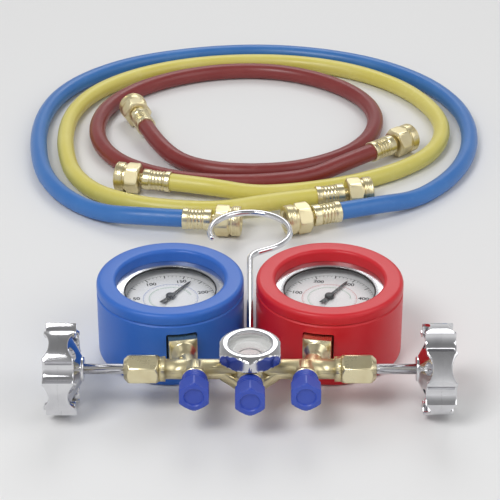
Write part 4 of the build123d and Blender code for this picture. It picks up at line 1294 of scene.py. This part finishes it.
@dataclass
class Gauge:
    """Pressure gauge in its moulded boot: case, bezel, lens, printed dial, pointer and movement."""

    shop: Workshop
    side: Side
    boot_r: float = 40.0 * MM
    boot_height: float = 44.5 * MM
    floor: float = 3.0 * MM
    opening_r: float = 29.5 * MM
    lip: float = 6.9 * MM
    groove_down: float = 6.6 * MM
    groove_depth: float = 0.8 * MM
    case_r: float = 34.0 * MM
    bezel_len: float = 1.4 * MM
    bezel_lip_r: float = 25.2 * MM
    lens_len: float = 2.0 * MM
    dial_drop: float = 3.0 * MM
    slot_width: float = 16.6 * MM
    slot_corner: float = 1.2 * MM
    scale_r: float = 24.4 * MM
    arc_start: float = 225.0
    sweep: float = 270.0
    rest: float = 33.0  # pointer's angle clockwise from the dial's top
    ink_len: float = 0.02 * MM
    proud: float = 0.01 * MM  # from the dial to the print's underside

    @property
    def case_top(self) -> float:
        """Height of the case's rim, under the bezel."""
        return self.boot_height - self.lip - self.bezel_len

    @property
    def dial_top(self) -> float:
        """Height of the dial's face."""
        return self.case_top - self.lens_len - self.dial_drop

    def slot_tool(self) -> bpy.types.Object:
        """Round-cornered block that cuts the socket's slot in the boot."""
        work = bmesh.new()
        bmesh.ops.create_cube(work, size=1.0)
        bmesh.ops.scale(work, verts=work.verts, vec=(self.slot_width, 20 * MM, self.slot_width))
        bmesh.ops.translate(work, verts=work.verts, vec=(0, -38 * MM, PLAN.bar_z))
        along = [edge for edge in work.edges if abs(edge.verts[0].co.y - edge.verts[1].co.y) > MM]
        bmesh.ops.bevel(work, geom=along, offset=self.slot_corner, segments=4, affect="EDGES", profile=0.5)
        return linked("cutter", mesh_of(work, "cutter"))

    def boot(self) -> None:
        """Moulded rubber boot with a rolled rim, a groove under it and a slot for the socket."""
        top, groove, corner = self.boot_height, self.boot_height - self.groove_down, 0.3 * MM
        profile = [
            (0, 0, 0),
            (self.boot_r, 0, 3.0 * MM),
            (self.boot_r, groove - 0.9 * MM, corner),
            (self.boot_r - self.groove_depth, groove - 0.3 * MM, corner),
            (self.boot_r - self.groove_depth, groove + 0.3 * MM, corner),
            (self.boot_r, groove + 0.9 * MM, corner),
            (self.boot_r, top, 5.0 * MM),
            (self.opening_r, top, 2.4 * MM),
            (self.opening_r, top - self.lip, corner),
            (self.case_r, top - self.lip, corner),
            (self.case_r, self.floor, 0),
            (0, self.floor, 0),
        ]
        shell = linked("shell", round_body(soft_corners(profile, 8), 192))
        cutter = self.slot_tool()
        cut = shell.modifiers.new("slot", "BOOLEAN")
        cut.operation = "DIFFERENCE"
        cut.solver = "EXACT"
        cut.object = cutter
        mesh = placed(baked(shell, cutter), PLAN.gauge_place(self.side))
        rubber = "blue_rubber" if self.side is Side.LOW else "red_rubber"
        self.shop.stand_in(self.side.node("gauge_boot"), "moulded", mesh, rubber, 42.0)

    def face(self) -> None:
        """Spun bezel, a black ring of painted shade at the bezel's inner edge, lens, plain dial plate and
        case.
        """
        place, rim, low = PLAN.gauge_place(self.side), self.bezel_lip_r, self.case_top
        profile = [
            (rim, low + 0.02 * MM, 0),
            (self.case_r, low + 0.02 * MM, 0.1 * MM),
            (self.case_r, low + self.bezel_len, 0.3 * MM),
            (self.opening_r - 0.2 * MM, low + self.bezel_len, 1.2 * MM),
            (rim + 1.6 * MM, low + 0.9 * MM, 1.0 * MM),
            (rim, low + 0.5 * MM, 0.15 * MM),
        ]
        bezel = placed(round_body(soft_corners(profile), 160), place)
        self.shop.stand_in(self.side.node("gauge_bezel"), "spun", bezel, "bezel_steel")
        # Painted shade: a thin black ring under the bezel's inner edge stands in for the shadow in the gap
        # between bezel and dial.
        inner, outer = rim - 0.75 * MM, rim + 0.1 * MM
        profile = [
            (inner, low - 0.1 * MM, 0),
            (outer, low - 0.1 * MM, 0),
            (outer, low + 0.42 * MM, 0.15 * MM),
            (inner, low + 0.30 * MM, 0.15 * MM),
        ]
        shade_ring = placed(round_body(soft_corners(profile, 3), 128), place)
        self.shop.add(self.side.node("lens_seal"), shade_ring, "manifold", "black_rubber", "black_rubber")
        self.shop.refine("clear_lens", self.side.node("gauge_lens"))
        self.shop.refine("dial_white", self.side.node("gauge_dial"))
        self.shop.refine("case_steel", self.side.node("gauge_case"))

    def ink(self, name: str, parts: Sequence[bpy.types.Mesh], finish: str) -> None:
        """Lays a printed mark on the dial.

        Args:
            name: The mark's name.
            parts: Its meshes, round the dial's centre, their underside at 0.
            finish: Its ink.
        """
        mesh = placed(joined(parts, name), PLAN.gauge_place(self.side, self.dial_top + self.proud))
        self.shop.add(self.side.node(name), mesh, "manifold", finish, "dial_white")

    def arc(self, inner: float, outer: float, sweep: float) -> bpy.types.Mesh:
        """Thin printed arc from the scale's start.

        Args:
            inner: Inner radius.
            outer: Outer radius.
            sweep: Its sweep clockwise, in degrees.

        Returns:
            The mesh.
        """
        work = bmesh.new()
        steps = max(8, int(sweep / 2))
        section = ((inner, 0), (outer, 0), (outer, self.ink_len), (inner, self.ink_len))
        rows = []
        for step in range(steps + 1):
            angle = math.radians(self.arc_start - sweep * step / steps)
            rows.append([work.verts.new((*on_circle(radius, angle), z)) for radius, z in section])
        for row, after in zip(rows, rows[1:]):
            for corner in range(4):
                beside = (corner + 1) % 4
                work.faces.new((row[corner], row[beside], after[beside], after[corner]))
        work.faces.new(rows[0])
        work.faces.new(rows[-1][::-1])
        bmesh.ops.recalc_face_normals(work, faces=work.faces)
        return mesh_of(work, "arc")

    def figures(self, radius: float, size: float) -> list[bpy.types.Mesh]:
        """Numbers spread over the dial's sweep, upright.

        Args:
            radius: Distance of their middles from the dial's centre.
            size: Height of the letters.

        Returns:
            Their meshes.
        """
        labels = DIAL_NUMBERS[self.side]
        parts = []
        for place, label in enumerate(labels):
            angle = math.radians(self.arc_start - self.sweep * place / (len(labels) - 1))
            text = bpy.data.curves.new("figure", "FONT")
            text.body = label
            text.size = size
            text.align_x = "CENTER"
            text.align_y = "CENTER"
            text.extrude = 0.008 * MM
            text.offset = 0.11 * MM
            spot = Matrix.Translation((*on_circle(radius, angle), 0.01 * MM))
            parts.append(placed(baked(linked("figure", text)), spot))
        return parts

    def scale(self, name: str, finish: str, rows: Sequence[Marks], line: Pair, share: float = 1.0) -> None:
        """Prints divisions and the line they stand on.

        Args:
            name: The scale's name.
            finish: Its ink.
            rows: Its divisions.
            line: Inner and outer radius of its line.
            share: Share of the dial's sweep that it takes.
        """
        start, sweep = math.radians(self.arc_start), math.radians(self.sweep) * share
        parts = [self.shop.marks(row, finish, start, sweep) for row in rows]
        self.ink(name, [*parts, self.arc(*line, self.sweep * share)], finish)

    def dial_print(self) -> None:
        """Prints the scales, numbers and coloured arcs."""
        outer = self.scale_r / MM
        main_rows = Marks(51, outer - 0.7, 1.4, 0.24), Marks(11, outer - 1.3, 2.8, 0.55, 0.03)
        self.scale("scale", "scale_black", main_rows, (self.scale_r - 0.08 * MM, self.scale_r + 0.08 * MM))
        self.ink("figures", self.figures(18.6 * MM, 3.9 * MM), "scale_black")
        colour = "scale_blue" if self.side is Side.LOW else "scale_red"
        self.scale("inner_scale", colour, [Marks(41, 14.4, 1.0, 0.16)], (14.9 * MM, 15.05 * MM))
        self.scale("green_scale", "scale_green", [Marks(31, 11.2, 0.9, 0.16)], (11.7 * MM, 11.85 * MM), 0.8)

    def pointer(self, thick: float = 0.5 * MM, lift: float = 1.0 * MM) -> None:
        """Tapered pointer with a domed hub.

        Args:
            thick: The blade's thickness.
            lift: Height of its underside over the dial.
        """
        work = bmesh.new()
        upper_edge = [(-8.0, 1.7), (-2.0, 1.15), (17.2, 0.62)]
        lower_edge = [(x, -y) for x, y in upper_edge]
        outline = [lower_edge[0], (-7.2, 0.0), *upper_edge, (19.5, 0.0), *lower_edge[:0:-1]]
        lower, upper = ([work.verts.new((x * MM, y * MM, z)) for x, y in outline] for z in (0, thick))
        work.faces.new(lower[::-1])
        work.faces.new(upper)
        for place in range(len(outline)):
            after = (place + 1) % len(outline)
            work.faces.new((lower[place], lower[after], upper[after], upper[place]))
        bmesh.ops.bevel(work, geom=list(work.edges), offset=0.08 * MM, segments=2, affect="EDGES")
        blade = tidy_normals(mesh_of(work, "blade"))
        dome = [(0, 0, 0), (2.6 * MM, 0, 0), (2.6 * MM, 1.5 * MM, 0.8 * MM), (0, 1.9 * MM, 0)]
        mesh = joined([blade, round_body(soft_corners(dome), 48)], "pointer")
        base = Matrix.Translation((self.side.sign * PLAN.gauge_x, PLAN.gauge_y, self.dial_top + lift))
        placed(mesh, base @ Matrix.Rotation(math.radians(90 - self.rest), 4, "Z"))
        self.shop.stand_in(self.side.node("gauge_pointer"), "pressed", mesh, "pointer_black")

    def build(self) -> None:
        """Builds the whole gauge, with smooth copies of its socket and of what lies behind the dial."""
        self.boot()
        self.face()
        self.dial_print()
        self.pointer()
        for node, finish in (
            ("gauge_socket", "turned_brass"),
            ("bourdon_tube", "bronze"),
            ("movement_frame", "movement_brass"),
            ("pointer_arbor", "fine_steel"),
            ("sector_gear", "movement_brass"),
        ):
            self.shop.refine(finish, self.side.node(node), crease=28.0)


@dataclass
class PortCap:
    """Moulded cap of a flare port: round neck, hexagon grip, dished end."""

    shop: Workshop
    port: str
    x: float
    seat: float
    collar: float = 2.2 * MM
    neck_r: float = 6.7 * MM
    neck_len: float = 8.0 * MM
    flats: float = 15.2 * MM
    hex_len: float = 9.0 * MM
    hex_in: float = 1.2 * MM
    end_round: float = 1.3 * MM
    end_in: float = 1.5 * MM
    dish_r: float = 5.0 * MM
    dish: float = 1.0 * MM
    bore_r: float = 5.85 * MM
    end_wall: float = 2.2 * MM

    def build(self) -> None:
        """Builds the cap."""
        length = self.neck_len + self.hex_len
        flats = Hexagon(self.flats, self.neck_len, length, 0.16)
        corner, middle = flats.corner, self.flats / 2
        well = length - self.dish - self.end_wall
        hex_foot, hex_end = self.neck_len, length - self.end_round
        rise = [(share, math.sin(share * math.pi / 2)) for share in (0.0, 0.2, 0.4, 0.6, 0.8, 1.0)]
        fall = [(share, 1 - math.cos(share * math.pi / 2)) for share in (0.25, 0.5, 0.75, 1.0)]
        profile = [
            (self.bore_r, 0),
            (self.neck_r - 0.4 * MM, 0),
            (self.neck_r, 0.4 * MM),
            (self.neck_r, self.neck_len - 0.5 * MM),
            (self.neck_r + 0.1 * MM, self.neck_len - 0.02 * MM),
            *[(middle + (corner - middle) * eased, hex_foot + self.hex_in * share) for share, eased in rise],
            (corner, hex_end),
            *[(corner - self.end_in * eased, hex_end + self.end_round * share) for share, eased in fall],
            (self.dish_r + 0.35 * MM, length),
            (self.dish_r, length - 0.3 * MM),
            (self.dish_r - 0.3 * MM, length - self.dish),
            (0, length - self.dish),
            (0, well),
            (self.bore_r, well),
        ]
        grips = {"Pitch": 1.7 * MM, "Start": 2.2 * MM, "Radius": self.neck_r - 0.1 * MM, "Wire": 0.3 * MM}
        parts = [round_body(profile, 120, flats), self.shop.rings("blue_plastic", Count=3, **grips)]
        origin = (self.x, PLAN.bar_y - self.seat - self.collar, PLAN.bar_z)
        mesh = placed(joined(parts, "cap"), frame_at(origin, AHEAD))
        self.shop.stand_in(f"{self.port}_port_cap", "moulded", mesh, "blue_plastic")


@dataclass
class Bar:
    """Brass bar with its packing nuts, port fittings and hook bush."""

    shop: Workshop
    body_half: float = 47.5 * MM
    nut_len: float = 18.0 * MM
    nut_flats: float = 14.5 * MM
    chamfer: float = 1.6 * MM
    stem_r: float = 2.8 * MM
    spigot_r: float = 4.8 * MM
    spigot_len: float = 12.5 * MM

    def packing_nut(self, side: Side) -> None:
        """Long hexagon packing nut with a coned outer end.

        Args:
            side: Which end of the bar.
        """
        flats = Hexagon(self.nut_flats, 0, self.nut_len, 0.06)
        corner, cone = flats.corner, 2 * self.chamfer
        foot, shoulder = (corner - self.chamfer, 0), (corner, self.nut_len - cone)
        profile = [
            (self.spigot_r, 0),
            foot,
            *slope(foot, (corner, self.chamfer), (0.2, 0.4, 0.6, 0.8, 1.0)),
            shoulder,
            *slope(shoulder, (corner - cone, self.nut_len), (0.15, 0.3, 0.45, 0.6, 0.8, 0.95)),
            (corner - cone - 0.15 * MM, self.nut_len),
            (self.stem_r + 0.3 * MM, self.nut_len),
            (self.stem_r, self.nut_len - 0.3 * MM),
            (self.stem_r, self.spigot_len),
            (self.spigot_r, self.spigot_len),
        ]
        place = frame_at((side.sign * self.body_half, PLAN.bar_y, PLAN.bar_z), (side.sign, 0, 0), AHEAD)
        mesh = placed(round_body(profile, 120, flats), place)
        self.shop.stand_in(side.node("packing_nut"), "turned", mesh, "turned_brass")

    def build(self) -> None:
        """Builds the bar's pieces."""
        self.shop.refine("cast_brass", "manifold_body")
        self.shop.refine("turned_brass", "port_fittings", "hook_bush")
        self.shop.refine("white_ptfe", "stem_packings")
        for side in Side:
            self.packing_nut(side)
            self.shop.refine("white_ptfe", side.node("valve_disc"))


@dataclass
class SightGlass:
    """Chromed hexagon nut with a round window, and the indicator under its glass with a dark arc of painted
    shadow.
    """

    shop: Workshop
    seat: float = 31.5 * MM
    flats: float = 31.5 * MM
    length: float = 9.4 * MM
    chamfer: float = 2.4 * MM
    foot_in: float = 3.4 * MM
    top_in: float = 4.9 * MM
    window_r: float = 11.0 * MM
    spigot_r: float = 13.2 * MM
    well_r: float = 9.95 * MM
    border: float = 0.2 * MM
    rise: float = 0.6 * MM
    lip: float = 1.8 * MM
    # Where the dark arc of painted shadow on the indicator starts and how far it sweeps, in radians.
    arc_start: float = 2.6
    shade_arc_sweep: float = 2.2

    def nut(self) -> None:
        """Hexagon nut with a rounded upper edge."""
        flats = Hexagon(self.flats, 0, self.length, 0.05)
        corner, edge = flats.corner, self.chamfer
        foot = (corner - self.foot_in, 0)
        shares = (0.1, 0.2, 0.35, 0.5, 0.65, 0.8, 0.9, 1.0)
        fall = [(share, 1 - math.sin(share * math.pi / 2)) for share in shares]
        profile = [
            (self.spigot_r, 0),
            foot,
            *slope(foot, (corner, edge), (0.15, 0.3, 0.5, 0.7, 0.85, 1.0)),
            (corner, self.length - edge),
            *[(corner - self.top_in * share, self.length - edge * eased) for share, eased in fall],
            (self.window_r + 0.9 * MM, self.length),
            (self.window_r + 0.25 * MM, self.length - 0.3 * MM),
            (self.window_r, self.length - 0.8 * MM),
            (self.window_r, self.length - self.lip),
            (self.spigot_r, self.length - self.lip),
        ]
        mesh = placed(round_body(profile, 192, flats), Matrix.Translation((0, PLAN.bar_y, self.seat)))
        self.shop.stand_in("sight_glass_nut", "turned", mesh, "chrome")

    def build(self) -> None:
        """Builds the sight glass."""
        self.nut()
        self.shop.refine("black_rubber", "sight_glass_gasket")
        self.shop.refine("indicator_paper", "sight_glass_indicator")
        paper_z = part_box("sight_glass_indicator")[1].z
        under_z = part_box("sight_glass_lens")[0].z
        step, gap = 1.2 * MM, 0.02 * MM
        cone = [
            (self.well_r, under_z - 0.05 * MM),
            (self.well_r - step, under_z - 0.05 * MM),
            (self.well_r - 2 * step, paper_z + 0.25 * MM),
            (self.well_r - 2 * step, paper_z + 0.05 * MM),
            (self.well_r, paper_z + 0.05 * MM),
        ]
        rim, base = self.spigot_r - self.border, under_z + 0.1 * MM
        top_z = self.seat + self.length - self.lip
        border = [
            (self.well_r, under_z + 0.01 * MM),
            (self.spigot_r - 0.01 * MM, under_z + 0.01 * MM),
            (self.spigot_r - 0.01 * MM, top_z - gap),
            (rim + gap, top_z - gap),
            (rim + gap, base - gap),
            (self.well_r, base - gap),
        ]
        shares = (0.98, 0.85, 0.7, 0.5, 0.3, 0.15, 0.0)
        dome = [(self.window_r * share, top_z + self.rise * (1 - share**2)) for share in shares]
        lens = round_body([(0, base), (rim, base), (rim, top_z), *dome], 96)
        middle = Matrix.Translation((0, PLAN.bar_y, 0))
        white = placed(joined([round_body(profile, 96) for profile in (cone, border)], "border"), middle)
        self.shop.add("sight_glass_border", white, "manifold", "white_ptfe", "white_ptfe")
        self.shop.stand_in("sight_glass_lens", "domed", placed(lens, middle), "clear_glass")
        # Painted shadow: dark marks in an arc over the indicator's far side stand in for the shadow of the
        # nut's rim.
        marks = Marks(22, 6.3, 0.9, 0.55, 0.03)
        scale = self.shop.marks(marks, "scale_black", self.arc_start, self.shade_arc_sweep)
        placed(scale, Matrix.Translation((0, PLAN.bar_y, paper_z + 0.01 * MM)))
        self.shop.add("sight_glass_shade_arc", scale, "manifold", "scale_black", "indicator_paper")


@dataclass
class Hook:
    """Swivelling chromed wire hook with an open round loop."""

    shop: Workshop
    wire_r: float = 1.85 * MM
    loop_r: float = 23.5 * MM
    loop_y: float = 147.0 * MM
    lead_angle: float = math.radians(-60.0)
    tip_angle: float = math.radians(198.0)
    bend_r: float = 10.0 * MM
    head_back: float = 9.2 * MM
    head_r: float = 3.2 * MM
    head_len: float = 2.0 * MM
    shank_steps: int = 20
    bend_steps: int = 12
    lead_steps: int = 6
    loop_steps: int = 96

    def on_loop(self, share: float) -> Vector:
        """Point of the loop, by its share of the way from lead to tip."""
        x, y = on_circle(self.loop_r, self.lead_angle + (self.tip_angle - self.lead_angle) * share)
        return Vector((x, self.loop_y + y))

    def line(self) -> list[Vector]:
        """Points along the middle of the wire."""
        start = self.on_loop(0)
        way = Vector((-math.sin(self.lead_angle), math.cos(self.lead_angle)))
        turn = math.atan2(way.x, way.y)
        bend_y = start.y - start.x / way.x * way.y - self.bend_r * math.tan(turn / 2)
        head, bend = Vector((0, self.head_back)), Vector((0, bend_y))
        points = [head.lerp(bend, step / self.shank_steps) for step in range(self.shank_steps + 1)]
        for step in range(1, self.bend_steps + 1):
            x, y = on_circle(self.bend_r, turn * step / self.bend_steps)
            points.append(Vector((self.bend_r - x, bend_y + y)))
        bend_end = points[-1]
        points += [bend_end.lerp(start, step / self.lead_steps) for step in range(1, self.lead_steps + 1)]
        points += [self.on_loop(step / self.loop_steps) for step in range(1, self.loop_steps + 1)]
        return [Vector((point.x, PLAN.bar_y + point.y, PLAN.bar_z)) for point in points]

    def build(self) -> None:
        """Builds the hook."""
        points = self.line()
        path = line_of("hook_line", "POLY", points)
        chrome = self.shop.paints["chrome"]
        wire = tidy_normals(self.shop.trees["wire"].grow(path, chrome, Radius=self.wire_r, Sides=32))
        neck = (0, PLAN.bar_y + self.head_back, PLAN.bar_z)
        head = placed(pin(self.head_r, self.head_len, (0.5 * MM, 0.5 * MM), 48), frame_at(neck, AHEAD))
        curve = [on_circle(self.wire_r, math.radians(turn)) for turn in range(-80, 81, 10)]
        ball = round_body([*curve, (0, self.wire_r), (0, -self.wire_r)], 32)
        placed(ball, frame_at(points[-1], (0, 0, 1)))
        mesh = joined([wire, head, ball], "hook")
        self.shop.stand_in("hanging_hook", "bent", mesh, "chrome", 50.0)


@dataclass
class Studio:
    """Pale floor, soft lights and the camera."""

    ground: Colour = (0.80, 0.80, 0.80)
    floor_size: float = 4.0
    floor_drop: float = 0.0001
    camera_ahead: float = 818.8 * MM
    camera_up: float = 535.8 * MM
    view_from: float = -0.105
    view_to: float = 0.392
    sensor: float = 36.0
    pixels: float = 500.0
    focal_pixels: float = 1880.0

    def floor(self) -> None:
        """Wide flat floor just under the object, with painted light that makes it glow more towards its far
        parts.
        """
        work = bmesh.new()
        bmesh.ops.create_grid(work, x_segments=1, y_segments=1, size=self.floor_size)
        bmesh.ops.translate(work, verts=work.verts, vec=(0, 0, -self.floor_drop))
        mesh = mesh_of(work, "floor")
        surface = Surface("floor_paper")
        fine = surface.noise(scale=300, detail=2)
        x, y, _ = surface.parts(surface.place)
        # Painted light: the floor glows more with distance from the middle, standing in for lamp light on
        # its far parts.
        far = (x * x + y * y).called("SQRT").ramp(0.9, 3.4) * 0.5
        glow = surface.out("ShaderNodeCombineColor", {0: far, 1: far, 2: far})
        rough = 0.75 + (fine - 0.5) * 0.05
        light = {"Emission_Color": glow, "Emission_Strength": 1.0}
        mesh.materials.append(surface.close(Base_Color=self.ground, Roughness=rough, **light))
        linked("floor", mesh)

    def lights(self) -> None:
        """Pale world, darker overhead, and three soft lamps."""
        world = bpy.data.worlds.new("studio")
        bpy.context.scene.world = world
        world.use_nodes = True
        graph = Graph(world.node_tree)
        _, _, height = graph.parts(graph.node("ShaderNodeTexCoord").outputs["Generated"])
        glow = 0.86 - height.called("MAXIMUM", 0.0) ** 0.7 * 0.62
        sky = graph.out("ShaderNodeBackground", {"Color": (1.0, 1.0, 1.0), "Strength": glow})
        graph.node("ShaderNodeOutputWorld", {"Surface": sky})
        target = Vector((0, 0.08, 0.02))
        for name, spot, size, watts in (
            ("key", (-0.7, -0.8, 1.5), 0.7, 14.5),
            ("fill", (1.0, -0.5, 1.1), 1.0, 5.0),
            ("back", (0.1, 1.3, 1.2), 0.8, 6.0),
        ):
            lamp = bpy.data.lights.new(name, "AREA")
            lamp.shape = "SQUARE"
            lamp.size = size
            lamp.energy = watts
            holder = linked(name, lamp)
            holder.location = spot
            holder.rotation_euler = (target - Vector(spot)).to_track_quat("-Z", "Y").to_euler()

    def camera(self) -> None:
        """Camera at the object's usual viewing height, aimed to take in manifold and hoses."""
        eye = Vector((0, PLAN.bar_y - self.camera_ahead, PLAN.bar_z + self.camera_up))
        pitch = sum(math.atan2(eye.z, y - eye.y) for y in (self.view_from, self.view_to)) / 2
        lens = bpy.data.cameras.new("camera")
        lens.sensor_width = self.sensor
        lens.lens = self.sensor * self.focal_pixels / self.pixels
        lens.clip_end = 20.0
        holder = linked("camera", lens)
        holder.location = eye
        holder.rotation_euler = (math.pi / 2 - pitch, 0, 0)
        bpy.context.scene.camera = holder

    def build(self) -> None:
        """Sets the stage."""
        bpy.context.scene.view_settings.view_transform = "Standard"
        self.floor()
        self.lights()
        self.camera()


# Each hose's length in metres, and its route from its first end, in millimetres from the loops' middle.
ROUTES: dict[str, tuple[float, tuple[Point, ...]]] = {
    "red": (
        0.7473,
        (
            (-69.5, -18), (-61.5, -42), (-45.5, -61.3), (-23.3, -73), (1.8, -75.7), (27.5, -72.5), (51, -61),
            (70, -44), (82, -21), (86.5, 5), (81, 31), (66, 54), (44, 72), (17, 83), (-12, 84), (-40, 77),
            (-64, 64), (-84, 46), (-99, 21), (-104, -7), (-100, -35), (-87, -60), (-66, -77), (-40, -88),
            (-12, -91), (15, -89), (40, -82), (61, -71), (79, -56),
        ),
    ),
    "yellow": (
        0.844,
        (
            (-50, -98), (-25, -104), (2, -106), (28, -103), (53, -96), (76, -86), (98, -72), (117, -53),
            (128, -28), (130, 0), (122, 28), (107, 54), (84, 76), (57, 91), (26, 99), (-6, 100),
            (-38, 95), (-68, 83), (-93, 65), (-112, 41), (-122, 12), (-124, -19), (-121, -49), (-114, -79),
            (-98, -104), (-73, -119), (-44, -126), (-15, -127), (14, -124), (41, -118),
        ),
    ),
    "blue": (
        0.7914,
        (
            (55, -137), (80, -128), (103, -114), (122, -94), (136, -70), (145, -42), (148, -11), (144, 21),
            (131, 52), (109, 79), (81, 99), (48, 112), (13, 118), (-22, 116), (-55, 108), (-86, 95),
            (-112, 74), (-131, 47), (-140, 16), (-142, -16), (-139, -49), (-132, -81), (-117, -110),
            (-94, -131), (-68, -143), (-41, -146),
        ),
    ),
}

# Each port's name, place along the bar and seat, in millimetres.
PORTS = (("low", -28.5, 7.6), ("centre", 0.0, 12.0), ("high", 28.5, 7.6))


def main() -> None:
    """Builds the studio, the hoses and every sub-assembly in order."""
    logging.basicConfig(level=logging.INFO, format="%(message)s")
    shop = Workshop()
    Studio().build()
    for colour, (length, route) in ROUTES.items():
        Hose(shop, colour, length, route).build()
    for side in Side:
        Gauge(shop, side).build()
        Handwheel(shop, side).build()
    Bar(shop).build()
    for port, x, seat in PORTS:
        PortCap(shop, port, x * MM, seat * MM).build()
    SightGlass(shop).build()
    Hook(shop).build()


if __name__ == "__main__":
    main()
